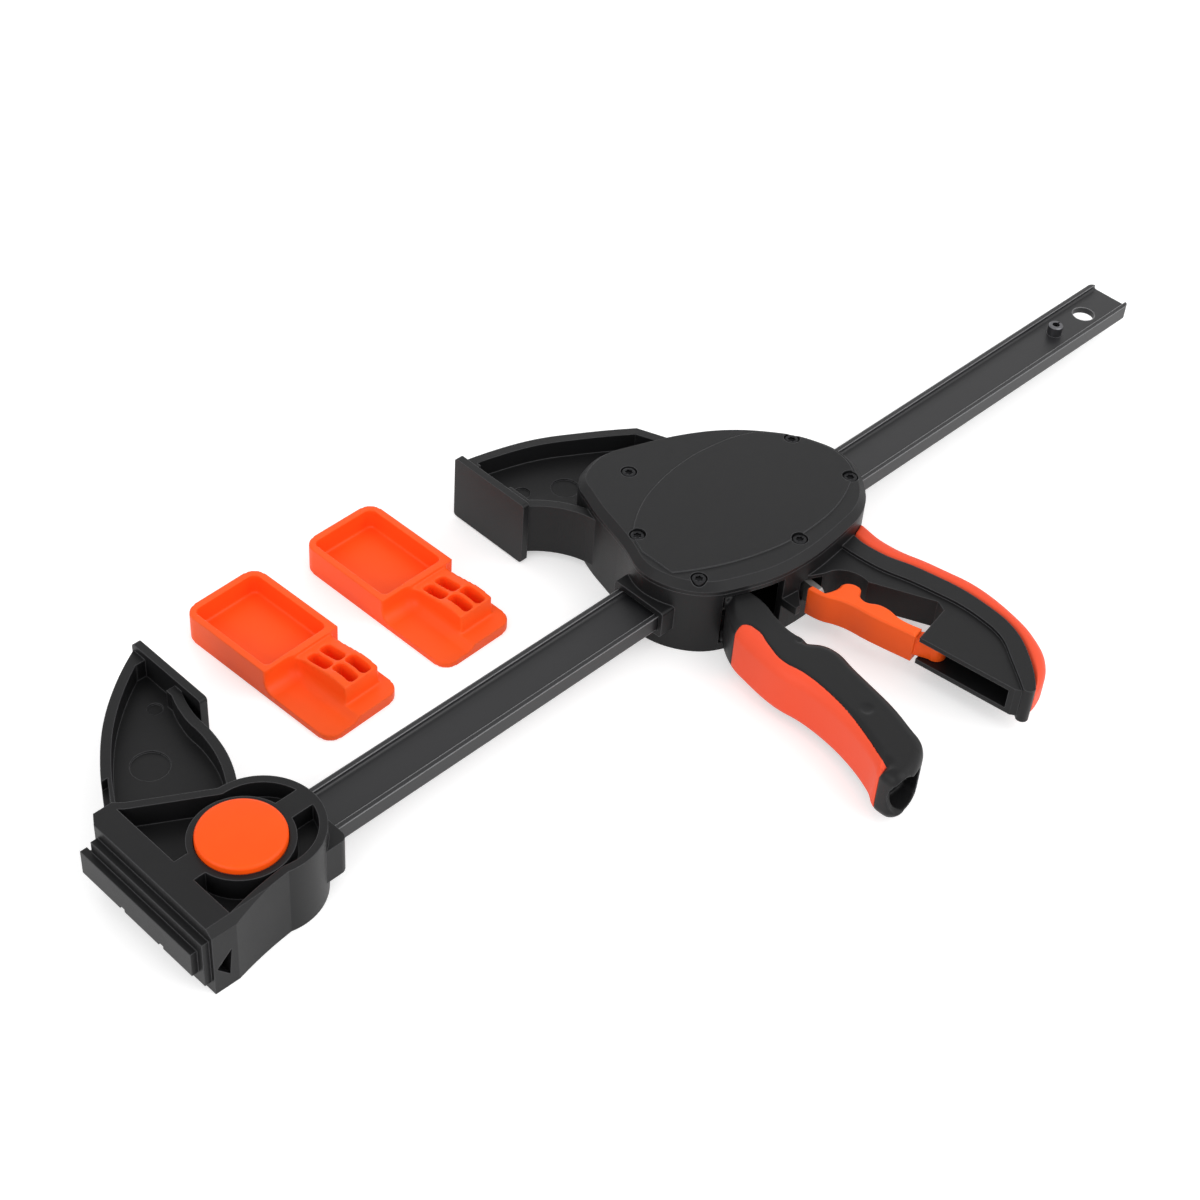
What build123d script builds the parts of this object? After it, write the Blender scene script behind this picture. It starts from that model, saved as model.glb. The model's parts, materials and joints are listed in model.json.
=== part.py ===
"""One-handed quick release bar clamp, lying on its side with its two loose jaw pads.

Working frame, in millimetres: X runs along the bar, from the fixed jaw (-X) to the
free end (+X), Y = 0 is the middle of the bar and +Y is the jaw side, Z is up from the
surface that the clamp lies on.  The fixed jaw is drawn from the front of its face
plate, with X = 0 there.  At the end everything is moved so that the origin is at the
middle of the bottom of the whole object.
"""
from build123d import *
import os
from math import cos, radians, sin, sqrt

# ------------------------------------------------------------------ fits and clearances
BAR_SLIDE_GAP = 0.30        # each side between the bar and what slides on it
BAR_SEAT_GAP = 0.05         # each side between the bar and the fixed jaw's socket
PIN_GAP = 0.05              # radial, a pivot pin in the lever that turns on it
MOVING_GAP = 0.40           # between moving pieces whose faces pass each other
SEAT_GAP = 0.30             # between a curved piece and the seat it rests on
SPRING_GAP = 0.10           # between a spring's end and its seat
CUT_OVER = 1.0              # how far a cut reaches past the face that it opens
FAR = 400.0                 # beyond every piece, for slices and cuts

# ------------------------------------------------------------------ bar
BAR_WIDTH = 22.0            # across the flanges, along Y
BAR_THICKNESS = 7.1         # over the flanges, along Z
BAR_FLANGE = 2.2            # width of each flange
BAR_WEB = 3.1               # thickness of the web between the flanges
BAR_FILLET = 1.0            # between web and flange
BAR_CORNER = 3.0            # rounded corners of the free end
BAR_FREE_END_X = 251.6
BAR_END_WALL = 11.5         # of the fixed jaw behind the bar's end
MID_Z = 16.5                # middle plane of the bar, arms and levers

HANG_HOLE_X = 230.5
HANG_HOLE_RADIUS = 5.2
STOP_PIN_X = 207.5
STOP_PIN_RADIUS = 3.4
STOP_PIN_LENGTH = 13.0      # stands out of both faces of the web
STOP_PIN_BORE = 1.7         # hollow of the rolled pin
STOP_PIN_SLIT = 0.8
STOP_PIN_BEVEL = 0.5

# ------------------------------------------------------------------ jaw faces and arms
JAW_FACE_LOW_Y = 62.7
JAW_FACE_HIGH_Y = 104.2
JAW_FACE_THICKNESS = 3.4
JAW_FACE_HEIGHT = 31.2      # along Z, about MID_Z
JAW_FACE_CORNER = 1.5
ARM_HEIGHT = 25.0           # height of the arm flanges, about MID_Z
ARM_WEB = 8.0               # thickness of the arm web, about MID_Z
ARM_FLANGE = 4.0
MARK_DEPTH = 0.8            # round ejector marks in the webs

# ------------------------------------------------------------------ fixed jaw
FIXED_FACE_X = -238.8
BODY_TOP_Z = 33.0
BODY_WALL = 3.2
BODY_STRIP = 68.7           # from the face to the outer edge of the body's top
BODY_STRIP_WIDTH = 10.5
BODY_HIGH_Y = 43.4
BODY_LOW_Y = -26.8
NOSE_BACK = 25.6            # from the face to the centre of the round front of the body
NOSE_RADIUS = 23.8
NOSE_TURNS = (-105, -50, 0, 45, 90)          # degrees, places that fix the nose's arc
SIDE_WAIST = [(10.5, -27.0), (22.7, -24.6)]   # the side wall narrows; x from the outer edge
BODY_CORNER = [(14.5, 40.4), (11.0, BODY_HIGH_Y), (3.0, BODY_HIGH_Y), (0.0, 38.9)]   # x likewise
STRIP_BEVEL = 3.2           # slope at the low end of the strip
END_HOLLOW = [(8.0, 19.0), (6.7, 6.0), (1.3, 12.5)]   # triangular: from the outer edge, and height
END_HOLLOW_DEPTH = 5.0
FRONT_RIB = (-4.6, 4.6)     # ribs between the button's ring and the walls
BACK_RIB = (-4.0, 7.0)
POCKET_FLOOR = 6.4          # left between a pocket and the bar's middle plane
SOCKET_HALF_WIDTH = 19.8    # sleeve round the bar
SOCKET_HEIGHT = 17.0
SOCKET_BACK = 1.8           # from the face to the sleeve's front
SOCKET_CORNER = 3.5

FIXED_ARM_BACK = [(-19.8, 92.9), (-35.7, 79.0), (-48.1, 63.8), (-60.7, BODY_HIGH_Y - 0.4)]
FIXED_ARM_ROOT = [(-57.2, 18.0), (-19.7, 20.0)]
FIXED_ARM_HOLLOW = [(-10.7, 37.0), (-7.8, 50.0), (-7.0, 62.0)]
FIXED_ARM_LEAVES_Y = 74.0   # where the hollow side leaves the face plate
FIXED_ARM_TIP_DROP = 0.8    # end of the arm below the face plate's high end
FIXED_ARM_MARKS = [(-11.7, 80.1, 3.0), (-30.7, 58.1, 7.5)]   # place and radius
STEP_Y = 57.0               # the arm's back is lower from here to the body
STEP_DROP = 5.0
STEP_RIB = 1.5

RAIL_REACH = 5.9            # how far the accessory rail stands out of the outer edge
RAIL_LIP = 3.0
RAIL_HEIGHT = 11.4
RAIL_NECK = 6.0
RAIL_LEDGE = 3.0
RAIL_LEDGE_HEIGHT = 22.0
RAIL_HIGH_Y = 40.5
RAIL_LOW_Y = -22.0
RAIL_NOTCHES = (16.0, -6.0)  # stops for accessories, under the lip
RAIL_NOTCH = (2.6, 1.5)      # along the rail and in height

# ------------------------------------------------------------------ push button
BUTTON_BACK = 34.1          # from the face to the button's centre
BUTTON_RADIUS = 16.6
BUTTON_TOP_Z = 36.6
BUTTON_SKIRT = 7.5          # height of the cap's rim
BUTTON_TOP = 2.6            # thickness of the cap's top
BUTTON_WALL = 2.0
BUTTON_BEVEL = 1.2
BUTTON_GAP = 0.35
BUTTON_RING = 2.6           # wall of the ring that guides the cap
BUTTON_FLOOR_Z = 23.5
LATCH_RADIUS = 4.0
LATCH_NECK_RADIUS = 2.4
LATCH_NECK_PLAY = 0.2       # each side of the web, above and below it
LATCH_CLIP_Z = 4.6
LATCH_CLIP_RADIUS = 6.0
LATCH_CLIP_THICKNESS = 1.0
LATCH_CLIP_SLIT = 2.4
LATCH_TIP = 1.0             # end of the pin below its clip
LATCH_SPRING_RADIUS = 7.2   # to the middle of the wire
LATCH_SPRING_WIRE = 1.3
LATCH_SPRING_TURNS = 4

# ------------------------------------------------------------------ housing
MOVING_FACE_X = -75.8
HOUSING_BOTTOM_Z = 0.0
HOUSING_TOP_Z = 31.0
HOUSING_WALL = 3.0
HOUSING_FLOOR = 2.6
BODY_LINE = [
    (-68.0, -2.0), (-61.5, 22.0), (-54.5, 46.0), (-48.5, 58.5), (-37.5, 63.4), (-7.0, 57.0), (32.0, 32.4),
    (46.0, 12.0), (49.3, -2.0), (37.0, -26.0), (0.0, -36.8), (-38.0, -32.5), (-60.5, -19.5),
]
MOVING_ARM_BACK = [(-60.0, 100.5), (-40.0, 94.0), (-20.0, 83.0), (-1.0, 70.5)]
MOVING_ARM_ROOT = [(8.0, 48.0), (-50.0, 15.0), (-61.5, 20.5)]
MOVING_ARM_HOLLOW = [(-57.0, 32.0), (-57.5, 44.0), (-62.5, 55.0)]
MOVING_ARM_LEAVES = 2.3     # where the hollow side leaves the plate, above its low end
MOVING_ARM_TIP_DROP = 1.0   # end of the arm below the face plate's high end
MOVING_ARM_MARKS = [(-60.5, 79.0, 3.5), (-44.6, 69.4, 6.0)]
COVER_TOP_Z = 36.0
COVER_BEVEL = 3.0
COVER_BEVEL_DROP = 3.2
COVER_PLATE = 2.4           # thickness of the cover over its hollow
COVER_RIM = 5.0             # width of the solid rim under the cover
CROWN_RISE = 0.5            # raised leaf-shaped field on the cover
CROWN_ROOT = 1.0            # how far its solid reaches into the cover
CROWN_MARGIN = 4.2
CROWN_HIGH = [(-62.0, 14.0), (-42.0, 28.5), (-20.0, 35.0), (2.0, 36.0), (24.0, 31.5), (50.0, 12.0)]
CROWN_LOW = [(50.0, -8.0), (24.0, -23.5), (-4.0, -27.0), (-34.0, -21.5), (-62.0, -8.0)]
FRONT_GUIDE_X = -66.0       # front and rear ends of the bar's guides
REAR_GUIDE_X = 46.0
GUIDE_WALL = 3.0
REAR_GUIDE_LENGTH = 9.0
FRONT_GUIDE_HALF_WIDTH = 24.0
REAR_GUIDE_HALF_WIDTH = 20.0
COLLAR_X = -71.5            # collar round the bar where it enters
COLLAR_HALF_WIDTH = 13.4
COLLAR_HEIGHT = 13.0
COLLAR_CORNER = 1.5
DRIVE_WALL_X = -16.0        # seat of the drive spring
BRAKE_WALL_X = 11.0         # seat of the brake spring
INNER_WALL = 3.0
DRIVE_WALL_Y = (-17.0, 40.0)
BRAKE_WALL_Y = (-40.0, 50.0)
FULCRUM_HALF_WIDTH = 3.0    # of the stop that the brake plate leans on

SCREW_PLACES = [(-30.4, 47.0), (-56.0, 17.1), (-56.0, -17.1), (-7.9, -28.2), (37.6, -16.4), (37.6, 16.4)]
SCREW_BOSS_RADIUS = 4.0
SCREW_RADIUS = 1.5
SCREW_HEAD_RADIUS = 3.0
SCREW_HEAD_HEIGHT = 1.8
SCREW_HEAD_SINK = 0.2       # head's top below the cover's top
SCREW_HEAD_BEVEL = 0.5
SCREW_DEPTH = 8.0           # how far a screw reaches into its boss
SCREW_SOCKET = 1.1
SCREW_SOCKET_DEPTH = 1.2
SCREW_RECESS_GAP = 0.5
SCREW_PLAY = 0.15

# ------------------------------------------------------------------ trigger and drive
TRIGGER_PIVOT = (-46.5, 24.0)
TRIGGER_HEIGHT = 24.5
TRIGGER_SKIN = 2.5
TRIGGER_FRONT_WALL = 5.5
TRIGGER_BEVEL = 3.0         # bevel of the front
TRIGGER_ROOT_Y = -28.0      # where the lever joins the fork
TRIGGER_FRONT = [(-54.5, -32.5), (-60.2, -42.0), (-62.4, -52.0), (-64.0, -66.0), (-62.5, -83.0),
                 (-64.8, -104.0), (-70.5, -121.0), (-75.6, -130.5), (-74.2, -136.6), (-67.5, -138.0)]
TRIGGER_BACK = [(-60.0, -136.2), (-52.5, -131.5), (-47.0, -119.0), (-40.4, -90.0), (-38.0, -73.0),
                (-44.8, -60.0), (-43.4, -48.5), (-40.6, -39.0), (-40.6, TRIGGER_ROOT_Y)]
TRIGGER_SQUARE_BACK = [(-46.0, -20.0), (-56.0, -124.0), (-20.0, -124.0), (-20.0, -20.0)]   # not bevelled
TRIGGER_TOP_X = -50.4       # front of the lever where it joins the fork
TRIGGER_CHANNEL_END_Y = -123.0
TIP_HOLLOW = (-71.8, -58.6, 8.2)   # hollow of the flared tip: from X, to X, half height
TIP_HOLLOW_CORNER = 4.0
TIP_HOLLOW_DEPTH_Y = -129.0
TRIGGER_PIN_RADIUS = 2.5
TRIGGER_PIN_SEAT = 1.0      # the floor that is left under the pin
TRIGGER_EYE_RADIUS = 5.0
FORK_GAP = 12.4             # between the cheeks that straddle the bar
FORK_WAIST = (-43.5, -19.0)
TRIGGER_NOSE_Y = -4.0       # height of the noses that push the plates
TRIGGER_NOSE_RADIUS = 3.0
TRIGGER_GRIP_SKIN = 2.4     # soft front: thickness in front and on the sides
TRIGGER_GRIP_LAP = 1.2
TRIGGER_CORE_BEVEL = 2.2
TRIGGER_SEAM = [(-55.2, -42.8), (-54.2, -48.0), (-57.0, -56.5), (-59.4, -64.5), (-58.2, -77.0),
                (-60.1, -95.8), (-66.0, -115.8), (-71.2, -127.5)]
TRIGGER_GRIP_OUTSIDE = [(-80.0, -130.5), (-84.0, -100.0), (-74.0, -60.0), (-68.0, -41.4), (-58.6, -41.4)]
DRIVE_PLATE = 3.0
DRIVE_PLATE_X = -38.5       # face that the trigger pushes
DRIVE_PLATE_HALF_WIDTH = 16.5
DRIVE_PLATE_HEIGHT = 24.0
PLATE_STACK_GAP = 0.1
PLATE_CORNER = 2.0
SPRING_RADIUS = 12.9        # drive and brake springs, to the middle of the wire
SPRING_WIRE = 1.6
SPRING_TURNS = 4
COIL_STEPS = 16             # straight pieces in each turn of a spring
WIRE_SIDES = 6

# ------------------------------------------------------------------ brake and release
BRAKE_PLATE = 3.0
BRAKE_FULCRUM = (-8.0, 19.0)   # upper front edge, where the plate leans on its stop
BRAKE_TILT = 4.5            # degrees, how far the plate leans when it grips
BRAKE_WIDE_REACH = 38.0     # from the fulcrum to the end of the wide part
BRAKE_HEIGHT = 22.0
BRAKE_TONGUE = 10.0         # height of the tongue
BRAKE_TONGUE_LAP = 2.0      # how far the tongue reaches past the lever's contact
BRAKE_TONGUE_BEVEL = 1.5
BRAKE_BITE_GAP = 0.05
RELEASE_PIVOT = (3.0, -95.0)
RELEASE_HEIGHT = 15.0
RELEASE_BEVEL = 0.8
RELEASE_EYE_RADIUS = 4.2
RELEASE_EYE_ROOM = 1.0
RELEASE_DOOR = (-16.0, 1.5, -2.0, 10.0)   # room for the lever's arm: from and to X, from and to Y
RELEASE_PIN_RADIUS = 1.8
RELEASE_PIN_SINK = 1.4      # how far the pin goes into each skin of the handle
RELEASE_CONTACT_Y = -44.0   # where the lever pushes the tongue
RELEASE_FRONT = [(-15.6, -48.0), (-11.8, -57.0), (-9.2, -72.0), (-6.2, -86.0)]
RELEASE_FOOT = [(-5.6, -89.2), (0.2, -88.2)]
RELEASE_BACK = [(-1.8, -80.0), (-1.4, -70.0), (-4.8, -61.0), (-0.2, -55.0), (-2.7, -50.6), (-8.6, -50.2),
                (-13.3, -48.6)]
RELEASE_TOP = [(-13.9, -42.2), (-16.4, -42.2)]
RELEASE_ARM = [(-5.0, -86.0), (-0.6, -86.0), (4.0, -91.2), (0.2, -97.8)]

# ------------------------------------------------------------------ handle
HANDLE_HEIGHT = 14.0        # middle part, about MID_Z
HANDLE_SKIN = 2.2
HANDLE_RIM_HEIGHT = 17.0
HANDLE_BACK_WALL = 7.5
HANDLE_ROOT = [(22.0, -25.0), (-13.0, -30.0)]
HANDLE_NECK = [(-11.5, -36.5), (-6.0, -40.0), (1.0, -43.0), (5.0, -49.0), (5.0, -56.0)]
HANDLE_WINDOW = [(17.4, -82.5), (15.2, -87.4), (-4.6, -91.0)]
HANDLE_FRONT = [(1.0, -134.5), (3.2, -137.6), (16.0, -130.0)]
HANDLE_BACK = [(27.0, -112.0), (27.5, -90.0), (22.0, -62.0), (20.0, -44.0), HANDLE_ROOT[0]]
HANDLE_HOLLOW_Y = (-132.0, -88.0)
PALM_START = (22.5, -30.0)
PALM_LINE = [(20.3, -39.5), (20.8, -47.7), (26.0, -66.5), (29.6, -91.0), (26.0, -116.0), (17.2, -129.5),
             (6.0, -140.5)]
RIM_TIP = [(3.2, -140.2), (2.4, -137.0)]
RIM_INNER = [(11.0, -125.5), (19.6, -112.3), (21.8, -98.0), (18.5, -72.0), (13.5, -52.4), (13.0, -26.0)]
GRIP_OUTER = [(14.5, -138.6), (24.5, -132.0), (32.0, -120.0), (36.2, -105.0), (37.8, -88.0), (34.6, -68.0),
              (30.0, -48.0), (30.5, -30.0)]
GRIP_BEVEL = 2.0
GRIP_EDGE = 3.0             # from the palm line to where the bevelled edge begins
NECK_WEB = 4.0              # thickness of the thin rib between trigger and release lever
NECK_WEB_LINE = [(-31.0, -30.0), (-33.0, -43.7), (-22.0, -43.7), (-13.0, -34.0), (-13.0, -30.0)]
TRIGGER_SLOT = (-51.2, -24.6, -21.5)   # opening for the trigger: from X, to X, up to Y
TONGUE_SLOT = (-15.0, -5.0, -22.0)     # opening for the brake plate's tongue

# ------------------------------------------------------------------ loose jaw pads
PAD_LENGTH = 85.0
PAD_WIDTH = 38.0
PAD_BASE = 5.0
PAD_TRAY_HEIGHT = 13.5
PAD_TRAY_LENGTH = 49.0
PAD_WALL = 3.0
PAD_POCKET_DEPTH = 9.5
PAD_CORNER = 6.0
PAD_LEDGE = 4.0             # base left bare along the ridge
PAD_RIDGE = [(-6.0, 12.0), (-11.0, 12.0), (-19.0, 13.2), (-27.0, 14.2), (-33.6, 13.4), (-35.0, 0.0)]
PAD_SCOOP = (-2.4, -9.6, 3.0)   # finger scoop beside the ridge: its far side, its end and its floor
PAD_SCOOP_ROUND = 5.0
PAD_SLOTS = [(1.6, -15.0), (8.4, -15.0), (3.6, -27.2), (10.4, -27.2)]
PAD_SLOT_LENGTH = 10.5
PAD_SLOT_WIDTH = 4.4
PAD_SLOT_FLOOR = 4.0
PAD_PLACES = [(-185.0, 80.0), (-124.3, 79.5)]
PAD_TURNS = [2.5, 1.5]      # degrees

# ------------------------------------------------------------------ sizes that follow from others
BUTTON_X = FIXED_FACE_X - BUTTON_BACK
BAR_SEAT_DEPTH = BODY_STRIP - BAR_END_WALL     # from the fixed jaw's face to the bar's end
BAR_JAW_END_X = FIXED_FACE_X - BAR_SEAT_DEPTH
BUTTON_TRAVEL = BAR_WEB + LATCH_NECK_PLAY      # brings the latch pin's neck into the web
BRAKE_REACH = BRAKE_FULCRUM[1] - RELEASE_CONTACT_Y + BRAKE_TONGUE_LAP
RAIL_OUTER = BODY_STRIP + RAIL_REACH           # from the fixed jaw's face to the rail's outer face
HEAD_Z = COVER_TOP_Z - SCREW_HEAD_SINK - SCREW_HEAD_HEIGHT     # under the screws' heads
HANDLE_HOLLOW = HANDLE_HEIGHT - 2 * HANDLE_SKIN


# ------------------------------------------------------------------ helpers
def block(x0, x1, y0, y1, z0, z1):
    """A box between two corners."""
    return Pos((x0 + x1) / 2, (y0 + y1) / 2, (z0 + z1) / 2) * Box(x1 - x0, y1 - y0, z1 - z0)


def slab(face, z0, z1):
    """A flat outline, extruded from z0 to z1."""
    return Pos(0, 0, z0) * extrude(face, amount=z1 - z0, dir=(0, 0, 1))


def layer(face, height):
    """A flat outline, extruded to the given height about the middle plane."""
    return slab(face, MID_Z - height / 2, MID_Z + height / 2)


def middle_block(x0, x1, y0, y1, height):
    """A box of the given height about the middle plane."""
    return block(x0, x1, y0, y1, MID_Z - height / 2, MID_Z + height / 2)


def post(x, y, radius, z0, z1):
    """An upright cylinder."""
    return Pos(x, y, (z0 + z1) / 2) * Cylinder(radius, z1 - z0)


def tangent_at(before, point, after):
    """Direction, at point, of the circle through three points."""
    a = point - before
    b = after - point
    return (a / a.length ** 2 + b / b.length ** 2).normalized()


def arc_pair(start, start_dir, end, end_dir):
    """Two arcs that meet smoothly and leave and arrive in the given directions."""
    chord = end - start
    both = start_dir + end_dir
    spread = 2 * (1 - start_dir.dot(end_dir))
    along = chord.dot(both)
    if spread < 1e-9:
        reach = chord.length ** 2 / (2 * along)
    else:
        reach = (sqrt(along ** 2 + spread * chord.length ** 2) - along) / spread
    middle = (start + start_dir * reach + end - end_dir * reach) / 2
    turn = (end - end_dir * reach - start - start_dir * reach).normalized()
    return [tangent_arc(start, start_dir, middle), tangent_arc(middle, turn, end)]


def tangent_arc(start, direction, end):
    """An arc that leaves start in a direction, or a line where it would be straight."""
    chord = (end - start).normalized()
    if direction.cross(chord).length < 1e-4:
        return Edge.make_line(start, end)
    return Edge.make_tangent_arc(start, direction, end)


def smooth_run(points, closed=False):
    """Edges of a smooth curve of arcs through the points."""
    places = [Vector(*p) for p in points]
    count = len(places)
    if closed:
        dirs = [tangent_at(places[i - 1], places[i], places[(i + 1) % count]) for i in range(count)]
        spans = [(i, (i + 1) % count) for i in range(count)]
    else:
        inner = [tangent_at(places[i - 1], places[i], places[i + 1]) for i in range(1, count - 1)]
        first = (places[1] - places[0]).normalized()
        last = (places[-1] - places[-2]).normalized()
        dirs = [first * (2 * first.dot(inner[0])) - inner[0]] + inner
        dirs.append(last * (2 * last.dot(inner[-1])) - inner[-1])
        spans = [(i, i + 1) for i in range(count - 1)]
    edges = []
    for i, j in spans:
        edges += arc_pair(places[i], dirs[i], places[j], dirs[j])
    return edges


def upright(edges):
    """A face inside a closed ring of edges, facing up."""
    face = Face(Wire(edges))
    return face if face.normal_at().Z > 0 else -face


def closed_curve(points):
    """A face inside one smooth closed curve."""
    return upright(smooth_run(points, closed=True))


def ring_of(*runs):
    """A face whose edge goes on from run to run, and from the last to the first: straight to
    a run of one point, and smoothly through a run of several."""
    edges = []
    last = runs[-1][-1]
    for run in runs:
        points = [last] + list(run)
        if len(points) == 2:
            edges.append(Edge.make_line(Vector(*points[0]), Vector(*points[1])))
        else:
            edges += smooth_run(points)
        last = points[-1]
    return upright(edges)


def corners(points):
    """One straight run to each point in turn."""
    return [[point] for point in points]


def polygon(points):
    """A face with straight sides."""
    return ring_of(*corners(points))


def coil(radius, wire, turns, length):
    """A compression spring along +Z from z = 0, of wire with flat sides, with the wire
    inside the length."""
    steps = turns * COIL_STEPS
    sections = []
    for i in range(steps + 1):
        height = wire / 2 + (length - wire) * i / steps
        section = Pos(radius, 0, height) * Rot(90, 0, 0) * RegularPolygon(wire / 2, WIRE_SIDES)
        sections.append(Rot(0, 0, 360 * i / COIL_STEPS) * section)
    return loft(sections, ruled=True)


def along_x(shape, x):
    """Turns a shape made along +Z to lie along +X on the bar's axis, from x."""
    return Pos(x, 0, MID_Z) * Rot(0, 90, 0) * shape


def bevelled(solid, width, is_chosen):
    """Bevels the top and bottom edges of an extruded outline where is_chosen(centre) holds."""
    levels = solid.edges().group_by(Axis.Z)
    chosen = [edge for edge in levels[0] + levels[-1] if is_chosen(edge.center())]
    return chamfer(chosen, width)


# ------------------------------------------------------------------ outlines and arms
def body_outline():
    """The housing and its cover: one smooth closed curve."""
    return closed_curve(BODY_LINE)


def moving_arm_outline():
    """The moving jaw's arm: the long back, its end, the hollow front and the face plate's back."""
    back_x = MOVING_FACE_X + JAW_FACE_THICKNESS
    hollow = MOVING_ARM_HOLLOW + [(back_x, JAW_FACE_LOW_Y + MOVING_ARM_LEAVES)]
    top = [(back_x, JAW_FACE_HIGH_Y - MOVING_ARM_TIP_DROP)]
    return ring_of(MOVING_ARM_BACK, *corners(MOVING_ARM_ROOT), hollow, top)


def fixed_arm_outline():
    """The fixed jaw's arm, a crescent from the body to the face plate."""
    hollow = FIXED_ARM_HOLLOW + [(-JAW_FACE_THICKNESS, FIXED_ARM_LEAVES_Y)]
    top = [(-JAW_FACE_THICKNESS, JAW_FACE_HIGH_Y - FIXED_ARM_TIP_DROP)]
    return ring_of(FIXED_ARM_BACK, *corners(FIXED_ARM_ROOT), hollow, top)


def i_section_arm(outline, keep_clear, plate_x, into, marks):
    """An arm with a flange round its outline and a web in its middle plane, open as far as
    the face plate whose back is at plate_x, with round marks sunk in the web."""
    x0, x1 = sorted((plate_x, plate_x + into * (ARM_FLANGE + CUT_OVER)))
    y0 = FIXED_ARM_LEAVES_Y + ARM_FLANGE
    beside_plate = block(x0, x1, y0, JAW_FACE_HIGH_Y - 2 * ARM_FLANGE, 0, BODY_TOP_Z)
    arm = layer(outline, ARM_HEIGHT)
    pocket = slab(offset(outline, amount=-ARM_FLANGE), 0, BODY_TOP_Z)
    pocket += beside_plate & slab(outline, 0, BODY_TOP_Z)
    pocket -= slab(keep_clear, 0, BODY_TOP_Z)
    arm -= pocket - middle_block(-FAR, FAR, -FAR, FAR, ARM_WEB)
    for x, y, radius in marks:
        arm -= post(x, y, radius, MID_Z + ARM_WEB / 2 - MARK_DEPTH, MID_Z + ARM_WEB / 2 + CUT_OVER)
    return arm


def jaw_face(face_x, back_x):
    """The flat plate that a jaw presses with."""
    x0, x1 = sorted((face_x, back_x))
    plate = middle_block(x0, x1, JAW_FACE_LOW_Y, JAW_FACE_HIGH_Y, JAW_FACE_HEIGHT)
    return fillet(plate.edges().filter_by(Axis.X), JAW_FACE_CORNER)


def bar_passage(x0, x1, gap):
    """The space that the bar takes, with a gap all round."""
    half = BAR_WIDTH / 2 + gap
    return middle_block(x0, x1, -half, half, BAR_THICKNESS + 2 * gap)


# ------------------------------------------------------------------ bar and what is fixed to it
def make_bar():
    """A drawn bar of I section: hanging hole, stop pin's hole and the latch's keyhole."""
    bar = middle_block(BAR_JAW_END_X, BAR_FREE_END_X, -BAR_WIDTH / 2, BAR_WIDTH / 2, BAR_THICKNESS)
    bar = fillet(bar.edges().filter_by(Axis.Z).group_by(Axis.X)[-1], BAR_CORNER)
    half = BAR_WIDTH / 2 - BAR_FLANGE
    for side in (-1, 1):
        groove = block(BAR_JAW_END_X, BAR_FREE_END_X, -half, half, 0, BAR_THICKNESS)
        at_web = groove.edges().filter_by(Axis.X).group_by(Axis.Z)[0 if side > 0 else -1]
        groove = fillet(at_web, BAR_FILLET)
        lift = BAR_WEB / 2 if side > 0 else -BAR_WEB / 2 - BAR_THICKNESS
        bar -= Pos(0, 0, MID_Z + lift) * groove
    for x, radius in ((HANG_HOLE_X, HANG_HOLE_RADIUS), (STOP_PIN_X, STOP_PIN_RADIUS),
                      (BUTTON_X, LATCH_RADIUS + PIN_GAP)):
        bar -= post(x, 0, radius, MID_Z - BAR_THICKNESS, MID_Z + BAR_THICKNESS)
    slot = LATCH_NECK_RADIUS + SEAT_GAP
    return bar - block(BAR_JAW_END_X, BUTTON_X, -slot, slot, 0, BODY_TOP_Z)


def make_stop_pin():
    """A rolled spring pin, pressed through the web, that keeps the housing on the bar."""
    z0 = MID_Z - STOP_PIN_LENGTH / 2
    z1 = MID_Z + STOP_PIN_LENGTH / 2
    pin = post(STOP_PIN_X, 0, STOP_PIN_RADIUS, z0, z1)
    pin = chamfer(pin.edges().filter_by(GeomType.CIRCLE), STOP_PIN_BEVEL)
    pin -= post(STOP_PIN_X, 0, STOP_PIN_BORE, z0, z1)
    pin -= block(STOP_PIN_X, STOP_PIN_X + STOP_PIN_RADIUS, -STOP_PIN_SLIT / 2, STOP_PIN_SLIT / 2, z0, z1)
    return pin


def fixed_body_outline():
    """The block that holds the bar: square at the rail, waisted, and round at the front."""
    nose = []
    for turn in NOSE_TURNS:
        nose.append((NOSE_RADIUS * cos(radians(turn)) - NOSE_BACK, NOSE_RADIUS * sin(radians(turn))))
    side = from_outer_edge(SIDE_WAIST)
    corner = corners(from_outer_edge(BODY_CORNER))
    return ring_of(side[:1], side[1:] + nose[:1], nose[1:], *corner, [(-BODY_STRIP, BODY_LOW_Y)])


def from_outer_edge(points):
    """Places given from the outer edge of the fixed jaw's body."""
    return [(x - BODY_STRIP, y) for x, y in points]


def make_fixed_jaw():
    """The fixed jaw: body with pockets and ribs, button ring, bar socket, rail, arm and face."""
    outline = fixed_body_outline()
    body = slab(outline, 0, BODY_TOP_Z) + fixed_arm(outline) - body_pockets(outline) - body_end_cuts()
    body -= post(-BUTTON_BACK, 0, BUTTON_RADIUS + BUTTON_GAP, BUTTON_FLOOR_Z, BODY_TOP_Z + CUT_OVER)
    sleeve = middle_block(-NOSE_BACK, -SOCKET_BACK, -SOCKET_HALF_WIDTH, SOCKET_HALF_WIDTH, SOCKET_HEIGHT)
    body += fillet(sleeve.edges().filter_by(Axis.Z).group_by(Axis.X)[-1], SOCKET_CORNER)
    body += make_rail()
    body += jaw_face(0, -JAW_FACE_THICKNESS)
    body -= bar_passage(-BAR_SEAT_DEPTH, 0, BAR_SEAT_GAP)
    body -= post(-BUTTON_BACK, 0, LATCH_RADIUS + PIN_GAP, -CUT_OVER, BODY_TOP_Z)
    clip_room = LATCH_CLIP_Z + LATCH_CLIP_THICKNESS + MOVING_GAP
    body -= post(-BUTTON_BACK, 0, LATCH_CLIP_RADIUS + CUT_OVER, -CUT_OVER, clip_room)
    return Pos(FIXED_FACE_X, 0, 0) * body


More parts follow.
